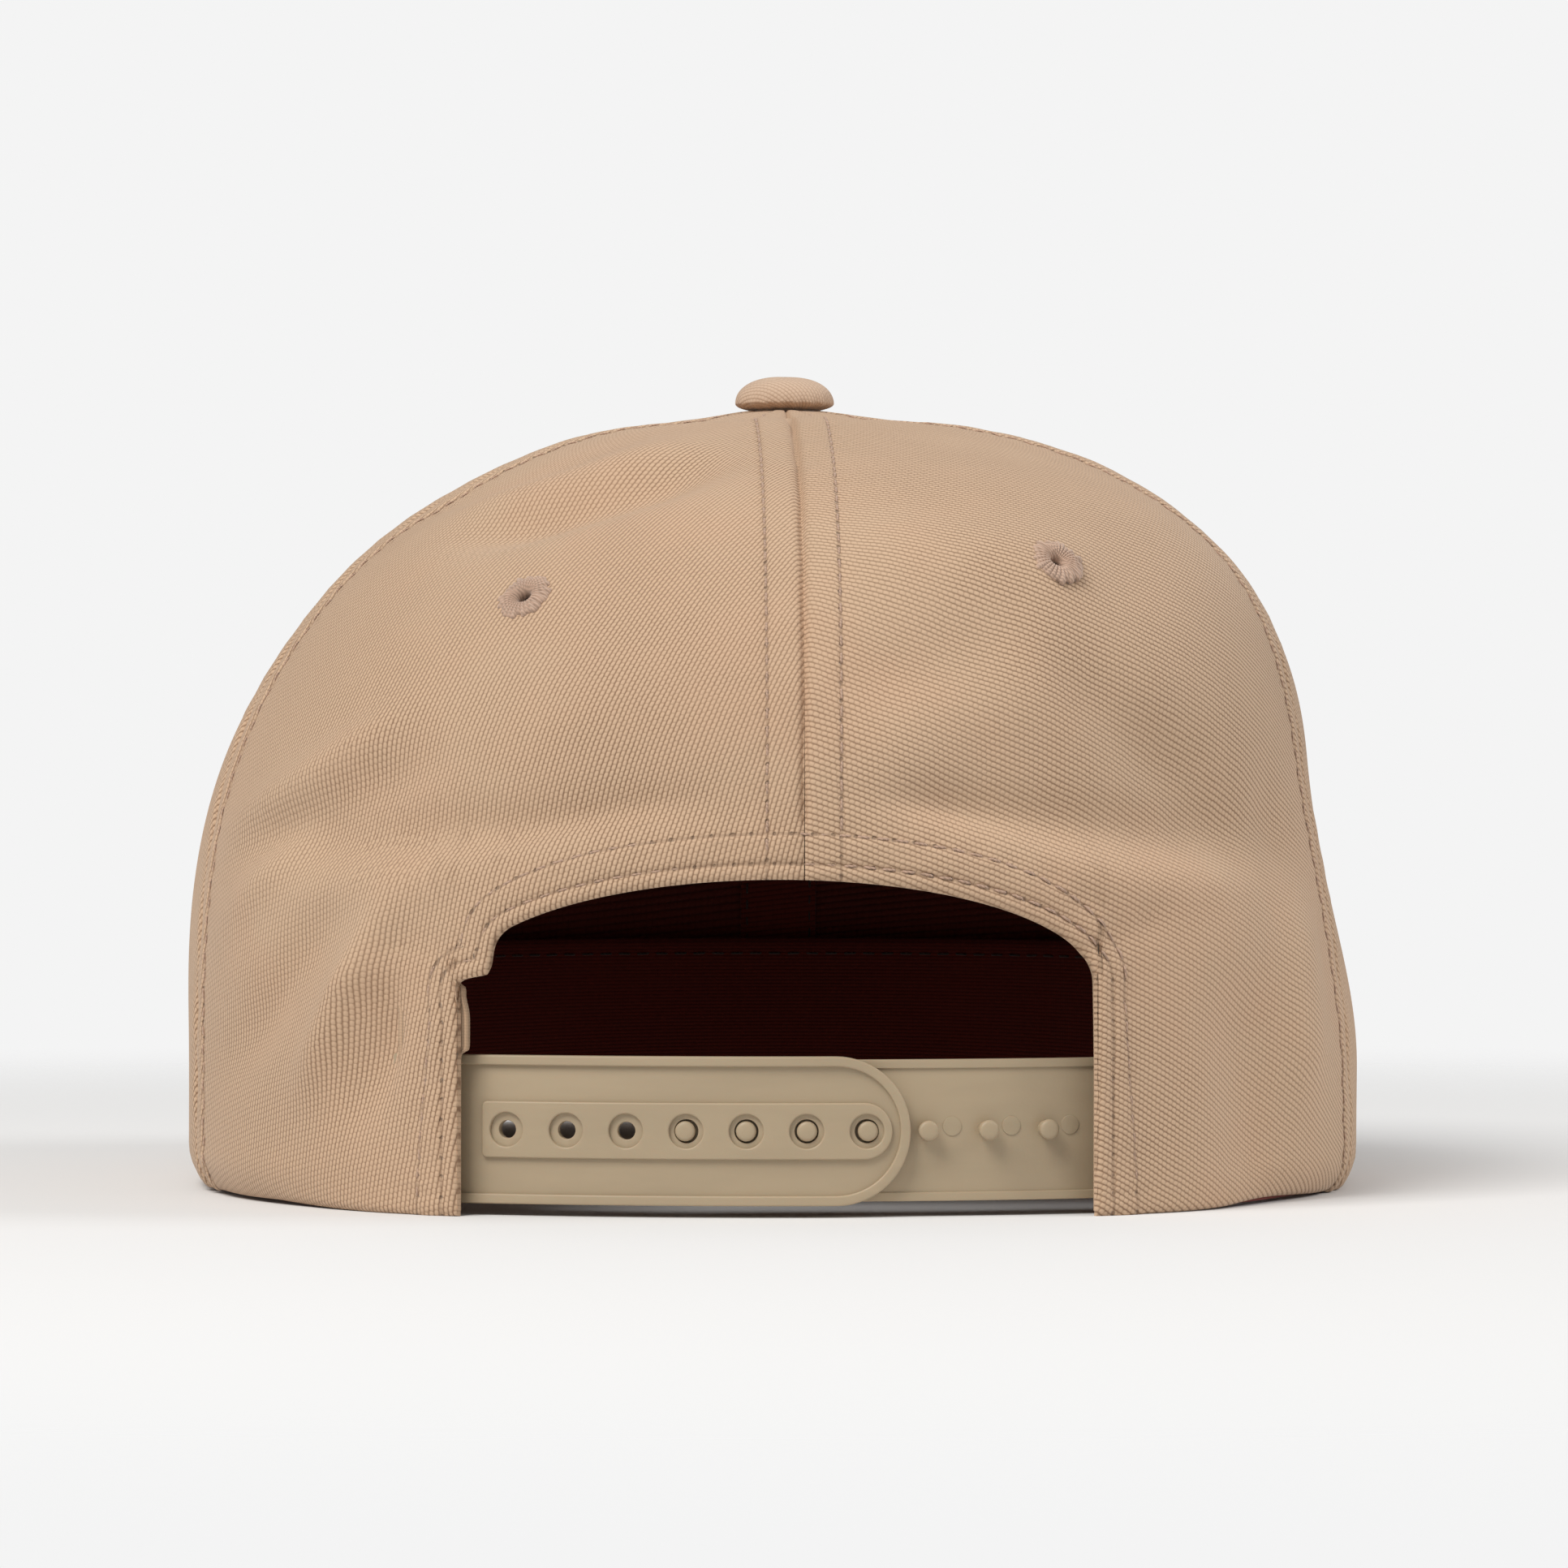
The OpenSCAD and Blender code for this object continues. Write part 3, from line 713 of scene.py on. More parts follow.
def ring(profile, turn):
    """Faces of a closed profile carried round a full turn: profile-major grid of points."""
    a = np.arange(profile)[:, None] * turn + np.arange(turn)[None, :]
    nxt = np.arange(profile)[:, None] * turn + (np.arange(turn)[None, :] + 1) % turn
    down = (np.arange(profile) + 1) % profile
    b = down[:, None] * turn + np.arange(turn)[None, :]
    c = down[:, None] * turn + (np.arange(turn)[None, :] + 1) % turn
    return np.stack([a, nxt, c, b], -1).reshape(-1, 4)


def eyelet(name, node, phi, z):
    """A ring of satin stitches, worked over the edge of the bore."""
    through = FACING_T + 0.2 if "front" in name else 0.0
    stitch_count = 30
    samples = 7
    turn = np.linspace(0, 2 * math.pi, stitch_count * samples, endpoint=False)
    stitch = np.floor(turn / (2 * math.pi) * stitch_count)
    ragged = 0.24 * np.sin(stitch * 2.7 + phi) + 0.18 * np.sin(stitch * 5.1 + 1)
    ridge = np.abs(np.sin(turn * stitch_count / 2)) ** 0.6
    low = -CLOTH - through
    profile = [(EYELET_R, -0.7, 0, 1), (EYELET_R + 0.1, 0.05, 0.2, 1), (3.5, 0.34, 1, 1),
               (3.0, 0.55, 1, 0.5), (2.4, 0.66, 1, 0), (1.8, 0.58, 0.9, 0), (1.35, 0.3, 0.7, 0),
               (1.05, -0.05, 0.5, 0), (0.92, -0.5, 0.3, 0), (0.95, low - 0.2, 0.3, 0),
               (1.3, low - 0.55, 0.6, 0), (2.2, low - 0.7, 0.8, 0), (3.2, low - 0.5, 0.8, 0.5),
               (3.6, low - 0.1, 0.4, 1), (3.5, low + 0.3, 0, 1)]
    centre = crown(phi, z)
    row = float(row_at(phi, z))
    n = outward(np.array([phi]), np.array([row]))[0]
    centre = centre + n * (float(unevenness(centre)) + float(folds(centre)) + 0.02)
    along = unit(crown(phi + 0.5, z) - crown(phi - 0.5, z))
    up = np.cross(n, along)
    points = []
    for r, h, ridged, end in profile:
        radius = r + ragged * end + 0.1 * ridged * (ridge - 0.5) * (r < 1.4)
        height = h + np.sign(h - low / 2) * 0.34 * ridged * (ridge - 0.6) - 0.5 * r * r / 65
        points.append(centre + np.outer(radius * np.cos(turn), along)
                      + np.outer(radius * np.sin(turn), up) + np.outer(height, n))
    make_mesh(name, np.concatenate(points), ring(len(profile), len(turn)), THREAD_EYELET,
              replaces=[node], sharp=0)


def button_cover():
    """Cloth drawn over the button's dome, with small pleats where it turns under."""
    turn = np.linspace(0, 2 * math.pi, 144, endpoint=False)
    a = np.concatenate([[-89.0, -75.0], np.linspace(-60, 90, 40)])
    r = BUTTON_R * np.clip(cosd(a), 0.0, 1) ** 0.8
    z = BUTTON_FOOT + np.where(a < 0, BUTTON_FOOT, BUTTON_H - BUTTON_FOOT) * sind(a)
    pleat = 0.16 * smooth((25 - a) / 60)
    radius = r[:, None] + pleat[:, None] * np.cos(19 * turn)[None, :]
    radius = np.maximum(radius, 0.01)
    height = BUTTON_Z + z[:, None] + 0.06 * np.sin(2 * turn + 1)[None, :] * (a[:, None] > 0)
    x = LEAN + radius * np.cos(turn)
    y = radius * np.sin(turn)
    points = np.stack([x, y, height], -1)
    n, m = points.shape[:2]
    wrap = np.concatenate([points, points[:, :1]], 1).reshape(n, m + 1, 3)
    faces = quads(n, m + 1, 0, False)
    arc = np.concatenate([[0], np.cumsum(np.hypot(np.diff(r), np.diff(z)))])
    arc = (arc[-1] - arc)[:, None]
    weave = np.stack([arc * np.cos(turn), arc * np.sin(turn)], -1)
    weave = np.concatenate([weave, weave[:, :1]], 1)
    piece = make_mesh("button_cloth", wrap, faces, TWILL_BUTTON,
                      replaces=["button_cover"], layers={"weave": weave.reshape(-1, 2)})
    weld(piece)


def weld(piece, distance=0.00002):
    """Joins the points of a closed surface where its grid meets itself."""
    bm = bmesh.new()
    bm.from_mesh(piece.data)
    bmesh.ops.remove_doubles(bm, verts=bm.verts, dist=distance)
    bmesh.ops.recalc_face_normals(bm, faces=bm.faces)
    bm.to_mesh(piece.data)
    bm.free()


# ---- inside the crown -------------------------------------------------------------------

def lining(name, node, outer, inner, material):
    """A closed sheet inside the crown, its weave laid out along its own length and width."""
    points, faces = shell(outer, inner)
    fall = run_along(outer[:, outer.shape[1] // 2])
    run = run_along(outer[outer.shape[0] // 2])
    weave = np.stack(np.broadcast_arrays(run[None, :], fall[:, None]), -1)
    return make_mesh(name, points, faces, material, replaces=[node],
                     layers={"weave": double(weave)})


def seam_tape(name, phi, last):
    """Woven tape over one seam, held by the two topstitch rows."""
    row = np.linspace(0.12, last, 150)[:, None]
    s = np.array([-1, -0.985, -0.9, -0.75, -0.45, 0, 0.45, 0.75, 0.9, 0.985, 1])[None, :]
    centre = crown_row(phi, row, TAPE_DEPTH)
    half = np.degrees(np.arcsin(TAPE_W / 2 / np.hypot(centre[..., 0], centre[..., 1])))
    angles, row = np.broadcast_arrays(phi + s * half, row)
    n = outward(angles, row)
    wave = 0.1 * np.sin(row * 130 + 3 * s) + 0.18 * bell(np.abs(s) - 0.83, 0.08)
    base = crown_row(angles, row, TAPE_DEPTH)
    rounded = 0.18 * (np.abs(s) > 0.99)
    lining("tape_over_seam_" + name, "tape_" + name, base + n * (wave * 0.3 - rounded)[..., None],
           base + n * (wave - TAPE_T + rounded)[..., None], TAPE)
    paths = []
    for side in (-0.83, 0.83):
        angle = phi + side * half[:, 0]
        down = outward(angle, row[:, 0])
        paths.append((crown_row(angle, row[:, 0], TAPE_DEPTH) - down * (TAPE_T - 0.12), -down))
    stitches("tape_stitches_" + name, paths, THREAD_DARK)


def arch_facing():
    """Facing turned in behind the opening; it peeps out past the left tab."""
    k = np.linspace(0.004, 0.996, 260)[None, :]
    share = np.linspace(1, 0, 16)[:, None]
    peep = 1.2 * smooth((k - 0.137) / 0.006) * smooth((TAB_SHARE - k) / 0.006)
    w = mix(0.35 - peep, 9.0, share)
    phi, row = behind(*opening_edge(k, w))
    n = outward(phi, row)
    depth = 1.35 + 0.12 * np.sin(k * 70) * share - 0.25 * bell(share, 0.1)
    base = crown_row(phi, row)
    lining("opening_facing", "arch_facing", base - n * depth[..., None],
           base - n * (depth + FACING_T)[..., None], FACING)


def band_sheet(name, node, depth, t, heights, material, turned):
    """A band round the inside of the rim, from one side of the rear opening to the other."""
    phi = np.linspace(BAND_START, 360 - BAND_START, 300)[None, :]
    z = np.asarray(heights, float)[:, None]
    tuck = smooth((4.5 - z) / 4) * turned
    wave = 0.25 * np.sin(np.radians(phi) * 9 + z * 0.05) + 0.12 * np.sin(np.radians(phi) * 31)
    wave = wave * smooth(z / 12) * 0.6
    phi, z = np.broadcast_arrays(phi, z)
    out = crown(phi, z, depth)
    n = outward(phi, row_at(phi, z))
    n[..., 2] = 0
    n = unit(n)
    ends = smooth((phi - BAND_START) / 1.5) * smooth((360 - BAND_START - phi) / 1.5)
    top = 1 - turned * bell(z - heights[0], 0.5) * 0.6
    outer = out + n * (tuck * (depth - 1.3) + wave)[..., None]
    inner = out + n * (tuck * (depth - 1.3) + wave - t * top * (0.4 + 0.6 * ends))[..., None]
    return lining(name, node, outer, inner, material), inner, -n


def sweatband():
    """A folded band with a felted strip in it, sewn in along the rim."""
    heights = np.concatenate([BAND_H - np.array([0, 0.15, 0.4, 0.8, 1.4, 2.2, 2.8, 3.4, 4.2]),
                              np.linspace(26.5, 5.5, 12),
                              np.array([4.5, 3.8, 3.2, 2.6, 2.0, 1.4, 0.9, 0.5])])
    _, face, inward = band_sheet("sweatband_cloth", "sweatband", BAND_DEPTH, BAND_T, heights,
                                 LINING, 1.0)
    band_sheet("sweatband_felt", "sweatband_core", CORE_DEPTH, CORE_T,
               np.linspace(BAND_H - 3, 5.0, 14), FELT, 0.0)
    rows = [int(np.abs(heights - z).argmin()) for z in (29.2, 3.2)]
    stitches("sweatband_stitches", [(face[i], inward[i]) for i in rows], THREAD_DARK,
             pitch=3.0)


def buckram(name, node, phi0, phi1):
    """Stiff open mesh behind a front panel."""
    row = np.linspace(0.2, 0.965, 60)[:, None]
    phi, row = np.broadcast_arrays(np.linspace(phi0, phi1, 50)[None, :], row)
    n = outward(phi, row)
    base = crown_row(phi, row)
    lining(name, node, base - n * UNDER, base - n * (UNDER + FACING_T), BUCKRAM)


def care_label():
    """A blank label caught in the sweatband's seam."""
    z = np.linspace(26, 8, 24)[:, None]
    phi = np.linspace(294, 304, 26)[None, :]
    phi, z = np.broadcast_arrays(phi, z)
    depth = BAND_DEPTH + BAND_T + 0.35
    out = crown(phi, z, depth)
    n = unit(outward(phi, row_at(phi, z)) * np.array([1, 1, 0]))
    lift = 0.5 * ((phi - 299) / 5) ** 2 * smooth((26 - z) / 14)
    lining("blank_label", "care_label", out - n * lift[..., None],
           out - n * (lift + 0.3)[..., None], LABEL)
    edge = out - n * 0.28
    stitches("label_stitches", [(edge[1, 1:-1], -n[1, 1:-1])], THREAD_DARK)


# ---- visor ------------------------------------------------------------------------------

def visor_reach(a):
    """How far the visor stands out from the crown."""
    return VISOR_L * (1 - np.abs(a) ** 4) ** 0.75


def visor_spot(a, b, z):
    """A point of the visor: a across it, b from 0 at the crown to 1 at the edge. Below 0
    the point goes straight in, to the cloth that the visor is sewn to."""
    phi = 180 + VISOR_HALF_ANGLE * a
    root = crown(phi, 0, -0.3 - RIM_ROLL)
    reach = visor_reach(a)
    tucked = unit(root * [1, 1, 0]) * (np.minimum(b, 0) * reach)[..., None]
    b = np.maximum(b, 0)
    rise = VISOR_ARCH * (1 - (a / LOW_AT) ** 2) ** 2
    return tucked + np.stack([root[..., 0] - VISOR_SPREAD * a * reach * b,
                              root[..., 1] + reach * b, mix(root[..., 2], rise, b) + z], -1)


def to_visor_edge(points):
    """Distance from each point of a grid to the visor's edge, and the run along the edge."""
    edge = visor_spot(np.linspace(-VISOR_END, VISOR_END, 700), 1.0, 0.0)[:, :2]
    edge_run = run_along(edge)
    distance, run = np.zeros(points.shape[:2]), np.zeros(points.shape[:2])
    for i, line in enumerate(points):
        gap = np.linalg.norm(line[:, None, :2] - edge[None], axis=2)
        distance[i], run[i] = gap.min(1), edge_run[gap.argmin(1)]
    return distance, run


def visor_rows(face, distance, up):
    """The stitch rows on a cover's face, each at a set distance from the visor's edge."""
    paths = []
    for level in VISOR_FIRST + VISOR_STEP * np.arange(VISOR_ROWS):
        line = [[np.interp(level, column, face[:, j, i]) for i in range(3)]
                for j, column in enumerate(distance.T)
                if column[-1] > level + 1.0 and column[0] < level]
        if len(line) > 8:
            paths.append((np.array(line), np.tile([0, 0, up], (len(line), 1))))
    return paths


def visor_cover(name, node, top):
    """One cloth cover of the visor, rounded over the board's edge, with its stitch rows."""
    tuck = 1.4 if top else 2.6     # how far it reaches in, to the crown's cloth
    thick, middle = 0.8, 1.76      # the cloth, and how high the covers meet at the edge
    a = VISOR_END * np.linspace(-1, 1, 240)[None, :]
    reach = visor_reach(a)
    at_edge = 1 - np.array([0, 0.12, 0.35, 0.7, 1.1, 1.6, 2.2, 3.0, 4.0])[:, None] / reach
    share = np.linspace(1, 0, 100)[1:, None]
    b = np.concatenate([at_edge, mix(-tuck / reach, at_edge[-1:], share)])
    a, b = np.broadcast_arrays(a, b)
    flat = visor_spot(a, b, 0.0)
    d, run = to_visor_edge(flat)
    row = np.clip(np.round((d - VISOR_FIRST) / VISOR_STEP), 0, VISOR_ROWS - 1)
    off = (d - VISOR_FIRST - row * VISOR_STEP) * np.where(row % 2 == 0, 1, -1)
    closing = np.minimum(d, (VISOR_END - np.abs(a)) * 62)
    turned = np.clip(1 - np.clip(1 - closing / 2.4, 0, 1) ** 2, 0, None)
    round_off = 1.7 * (1 - np.sqrt(turned))
    height = -0.22 * bell(off, 0.5) + 0.1 * np.cos(run * 2 * math.pi / STITCH) * bell(off, 1.0)
    height += 0.06 * np.sin(flat[..., 0] * 0.21) * np.sin(flat[..., 1] * 0.17) - round_off
    outer, inner = flat.copy(), flat.copy()
    if top:
        outer[..., 2] += VISOR_T + height
        inner[..., 2] = np.maximum(outer[..., 2] - thick, flat[..., 2] + middle - 0.01)
    else:
        outer[..., 2] += np.minimum(thick + round_off * 0.55, middle + 0.02)
        inner[..., 2] -= height
    points, faces = shell(outer, inner)
    stitch = np.stack([off, run], -1)
    make_mesh(name, points, faces, TWILL_VISOR, replaces=[node],
              layers={"weave": double(flat[..., :2]), "stitch": double(stitch),
                      "hem": double(np.full(stitch.shape, FAR))})
    paths = visor_rows(outer, d, 1.0) if top else visor_rows(inner, d, -1.0)
    stitches(name + "_stitches", paths, THREAD)


def visor_stiffener():
    """The moulded board between the two covers, just short of their edge."""
    a = 0.94 * np.linspace(-1, 1, 80)[None, :]
    share = np.linspace(1, 0, 16)[:, None]
    b = share * (1 - 3.0 / visor_reach(a))
    a, b = np.broadcast_arrays(a, b)
    points, faces = shell(visor_spot(a, b, 2.7), visor_spot(a, b, 0.9))
    make_mesh("visor_stiffener", points, faces, BOARD, replaces=["visor_board"])


def visor():
    visor_cover("visor_cloth_top", "visor_top_cover", True)
    visor_cover("visor_cloth_under", "visor_under_cover", False)
    visor_stiffener()


# ---- snap strap ---------------------------------------------------------------------------

def arc_run(x, radius):
    """Where the strap's point at x lies when the strap is flat."""
    return radius * math.asin(x / radius)


def plate(loops, low, high, bevel, step=1.6):
    """A flat moulded plate with rounded edges: the first loop is its outline, the rest
    are holes. Cut into strips so that it can bend."""
    curve = bpy.data.curves.new("outline", "CURVE")
    curve.dimensions = "2D"
    curve.fill_mode = "BOTH"
    for loop in loops:
        spline = curve.splines.new("POLY")
        spline.points.add(len(loop) - 1)
        co = np.concatenate([loop, np.tile([0.0, 1.0], (len(loop), 1))], 1)
        spline.points.foreach_set("co", co.astype(np.float32).ravel())
        spline.use_cyclic_u = True
    curve.extrude = (high - low) / 2 - bevel
    curve.bevel_depth = bevel
    curve.bevel_resolution = 2
    curve.offset = -bevel
    holder = bpy.data.objects.new("outline", curve)
    bpy.context.scene.collection.objects.link(holder)
    graph = bpy.context.evaluated_depsgraph_get()
    mesh = bpy.data.meshes.new_from_object(holder.evaluated_get(graph))
    bm = bmesh.new()
    bm.from_mesh(mesh)
    bmesh.ops.remove_doubles(bm, verts=bm.verts, dist=0.001)
    x0, x1 = loops[0][:, 0].min(), loops[0][:, 0].max()
    for x in np.arange(x0 + step, x1, step):
        everything = bm.verts[:] + bm.edges[:] + bm.faces[:]
        bmesh.ops.bisect_plane(bm, geom=everything, plane_co=(x, 0, 0), plane_no=(1, 0, 0))
    bmesh.ops.recalc_face_normals(bm, faces=bm.faces)
    bm.verts.index_update()
    points = np.array([v.co[:] for v in bm.verts])
    points[:, 2] += (low + high) / 2
    faces = [[v.index for v in f.verts] for f in bm.faces]
    bm.free()
    bpy.data.objects.remove(holder)
    bpy.data.curves.remove(curve)
    bpy.data.meshes.remove(mesh)
    return points, faces


def circle(x, r, count=40):
    """A hole's or a mark's outline, centred on the strap's middle line."""
    t = np.linspace(0, 2 * math.pi, count, endpoint=False)
    return np.stack([x + r * np.cos(t), r * np.sin(t)], -1)


def tongue(x0, x1, h, round_start=0.0):
    """Strap outline from x0 to a round tip at x1."""
    t = np.linspace(-math.pi / 2, math.pi / 2, 33)
    half = h / 2
    tip = np.stack([x1 - half + half * np.cos(t), half * np.sin(t)], -1)
    c = np.linspace(0, math.pi / 2, 6)
    r = round_start
    top = np.stack([x0 + r - r * np.sin(c), half - r + r * np.cos(c)], -1)
    return np.concatenate([tip, top, top[::-1] * [1, -1]])


def rim_ring(x0, x1, h, width):
    """The raised rim along a strap's two sides and round its tip, open at the tab."""
    outside, inside = tongue(x0, x1, h), tongue(x0, x1 - width, h - 2 * width)
    tip = slice(0, 33)
    return np.concatenate([outside[tip], [[x0, h / 2]], [[x0, h / 2 - width]],
                           inside[tip][::-1], [[x0, width - h / 2]], [[x0, -h / 2]]])


def bend(points, radius, face):
    """Wraps a flat plate round the straps' curve. Heights are above the inner face."""
    angle = points[:, 0] / face
    r = radius + points[:, 2]
    return np.stack([r * np.sin(angle), CURVE_Y - r * np.cos(angle), STRAP_Z + points[:, 1]], -1)


def merge(parts):
    """Several parts as one mesh."""
    points, faces, count = [], [], 0
    for p, f in parts:
        points.append(p)
        faces += [[i + count for i in face] for face in f]
        count += len(p)
    return np.concatenate(points), faces


def dome_peg(x):
    """One peg: a neck and a wider snap head with a rounded rim."""
    turn = np.linspace(0, 2 * math.pi, 28, endpoint=False)
    profile = [(0.0, 1.2), (1.12, 1.2), (1.12, 2.35), (1.32, 2.5), (1.36, 2.75), (1.34, 3.05),
               (1.22, 3.25), (0.95, 3.36), (0.5, 3.4), (0.0, 3.4)]
    points = [np.stack([x + max(r, 0.01) * np.cos(turn), max(r, 0.01) * np.sin(turn),
                        np.full(len(turn), h)], -1) for r, h in profile]
    a = ring(len(profile), len(turn))
    return np.concatenate(points), a[:-len(turn)].tolist()


def strap_mesh(name, side, radius, parts, nodes):
    """Bends a strap's flat parts to its curve."""
    points, faces = merge(parts)
    if side > 0:
        points[:, 0] *= -1
        faces = [f[::-1] for f in faces]
    points = bend(points, radius, radius + STRAP_T)
    body = "outer_strap" if side < 0 else "inner_strap"
    y = CURVE_Y - math.sqrt((radius + STRAP_T / 2) ** 2 - PIVOT_X ** 2)
    start = (side * (PIVOT_X + BEND_HALF) * MM, y * MM, STRAP_Z * MM)
    end = (side * (PIVOT_X - BEND_HALF) * MM, y * MM, STRAP_Z * MM)
    return make_mesh(name, points, faces, PLASTIC, replaces=nodes,
                     joint=("crown", body, start, end), sharp=40)


def strap_with_holes(radius):
    """The outer strap: a rim round its edge, and a bar with seven holes in round recesses."""
    face = radius + STRAP_T
    start, tip = arc_run(-TAIL_X, face), arc_run(TIP_X, face)
    holes = [arc_run(FIRST_HOLE + k * PEG_PITCH, face) for k in range(HOLES)]
    bar_start = arc_run(FIRST_HOLE - BAR_PAST, face)
    bar_end = arc_run(FIRST_HOLE + (HOLES - 1) * PEG_PITCH + BAR_PAST + 0.1, face)
    bores = [circle(x, FREE_BORE_R if k < OPEN_HOLES else FILLED_BORE_R)
             for k, x in enumerate(holes)]
    bar = [tongue(bar_start, bar_end, BAR_H, 0.7)] + [circle(x, RECESS_R) for x in holes]
    top = STRAP_T + RAISE
    parts = [plate([tongue(start, tip, STRAP_H)] + bores, 0, STRAP_T, 0.12),
             plate([rim_ring(start + 3, tip, STRAP_H, 1.35)], STRAP_T - 0.2, top, 0.22),
             plate(bar, STRAP_T - 0.3, top, 0.22)]
    strap_mesh("snap_strap_with_holes", -1, radius, parts, ["outer_strap", "outer_strap_tail"])


def strap_with_pegs(radius):
    """The inner strap: a low rim, seven pegs, and a faint round mould mark beside each."""
    face = radius + STRAP_T
    start, tip = arc_run(-TAIL_X, face), arc_run(-INNER_TIP_X, face)
    first = FIRST_HOLE + OPEN_HOLES * PEG_PITCH
    parts = [plate([tongue(start, tip, INNER_H)], 0, STRAP_T, 0.12),
             plate([rim_ring(start + 3, tip, INNER_H, 1.2)], STRAP_T - 0.2, STRAP_T + 0.28, 0.12)]
    for k in range(HOLES):
        x = -arc_run(first + k * PEG_PITCH, face)
        mark = circle(x - 3.5, 1.28, 32) + [0, 0.5]
        parts += [dome_peg(x), plate([mark], STRAP_T - 0.1, STRAP_T + 0.12, 0.04)]
    strap_mesh("snap_strap_with_pegs", 1, radius, parts, ["inner_strap", "inner_strap_tail"])


def finish_node(node, material):
    """Gives a carried-over CAD node its finished material."""
    piece = bpy.data.objects[node]
    piece.data.materials.clear()
    piece.data.materials.append(material)


# ---- materials ----------------------------------------------------------------------

class Nodes:
    """A short way to write a shader: each call adds a node and returns its output."""

    def __init__(self, name):
        self.material = bpy.data.materials.new(name)
        self.material.use_nodes = True
        self.tree = self.material.node_tree
        self.shader = self.tree.nodes["Principled BSDF"]

    def add(self, kind, inputs=(), output=0, **settings):
        node = self.tree.nodes.new(kind)
        for key, value in settings.items():
            setattr(node, key, value)
        for key, value in dict(inputs).items():
            if isinstance(value, bpy.types.NodeSocket):
                self.tree.links.new(value, node.inputs[key])
            else:
                node.inputs[key].default_value = value
        return node.outputs[output]

    def math(self, operation, *values):
        return self.add("ShaderNodeMath", enumerate(values), operation=operation)

    def times(self, a, b):
        return self.math("MULTIPLY", a, b)

    def over(self, a, b):
        return self.math("DIVIDE", a, b)

    def plus(self, a, b):
        return self.math("ADD", a, b)

    def minus(self, a, b):
        return self.math("SUBTRACT", a, b)

    def ramp(self, value, low, high, to_low=0.0, to_high=1.0):
        return self.add("ShaderNodeMapRange", {0: value, 1: low, 2: high, 3: to_low, 4: to_high},
                        interpolation_type="SMOOTHSTEP")

    def blend(self, factor, a, b, mode="MIX"):
        return self.add("ShaderNodeMix", {0: factor, 6: a, 7: b}, output=2,
                        data_type="RGBA", blend_type=mode)

    def noise(self, vector, scale, detail=3.0, roughness=0.55):
        return self.add("ShaderNodeTexNoise", {"Vector": vector, "Scale": scale,
                                               "Detail": detail, "Roughness": roughness})

    def place(self):
        """The point's own place on the object, in metres."""
        return self.add("ShaderNodeTexCoord", output=3)

    def uv(self, layer):
        """Both coordinates of a UV map, in millimetres."""
        u = self.add("ShaderNodeSeparateXYZ", {0: self.add("ShaderNodeUVMap", uv_map=layer)})
        return u, u.node.outputs[1]

    def arch(self, value):
        """A round hump over each whole step of a value."""
        return self.math("SINE", self.times(self.math("FRACT", value), math.pi))

    def bump(self, height, distance, strength=1.0, normal=None):
        inputs = {"Strength": strength, "Distance": distance, "Height": height}
        if normal is not None:
            inputs["Normal"] = normal
        return self.add("ShaderNodeBump", inputs)

    def finish(self, colour, roughness, normal, **constants):
        for key, value in (("Base Color", colour), ("Roughness", roughness), ("Normal", normal)):
            if isinstance(value, bpy.types.NodeSocket):
                self.tree.links.new(value, self.shader.inputs[key])
            elif value is not None:
                self.shader.inputs[key].default_value = value
        for key, value in constants.items():
            self.shader.inputs[key.replace("_", " ")].default_value = value
        return self.material


def rgb(r, g, b):
    return (r, g, b, 1.0)


def tone(colour, share):
    """A darker or lighter version of a colour."""
    return rgb(*(min(1.0, c * share) for c in colour[:3]))


def needle_holes(s, layer):
    """Where the needle went through beside one set of stitch rows, as a mask for a dent and for
    painted shade in each hole, and the painted shadow along the row.
    """
    distance, run = s.uv(layer)
    step = s.math("FRACT", s.plus(s.over(run, STITCH), 0.5))
    off = s.times(s.minus(step, 0.5), STITCH)
    squares = s.plus(s.times(distance, distance), s.times(off, off))
    hole = s.ramp(s.math("SQRT", squares), 0.1, 0.36, 1.0, 0.0)
    return hole, s.ramp(s.math("ABSOLUTE", distance), 0.08, 0.34, 0.3, 0.0)


def twill_height(s, u, v, place, angle, pitch):
    """Height of the weave: diagonal ribs, each a row of short floats, and loose fibres."""
    c, d = math.cos(math.radians(angle)), math.sin(math.radians(angle))
    bead_depth = 0.6
    wander = s.times(s.minus(s.noise(place, 160, 2), 0.5), 0.5)
    across = s.plus(s.times(u, -d), s.times(v, -c))
    along = s.plus(s.times(u, c), s.times(v, -d))
    line = s.over(s.plus(across, wander), pitch)
    offset = s.times(s.math("FLOOR", line), 0.42)
    bead = s.math("POWER", s.arch(s.plus(s.over(along, pitch * 1.1), offset)), 0.7)
    bead = s.plus(1 - bead_depth, s.times(bead, bead_depth))
    height = s.times(s.math("POWER", s.arch(line), 0.8), bead)
    fibre = s.minus(s.noise(place, 2600, 2), 0.5)
    return s.plus(height, s.times(fibre, 0.35))


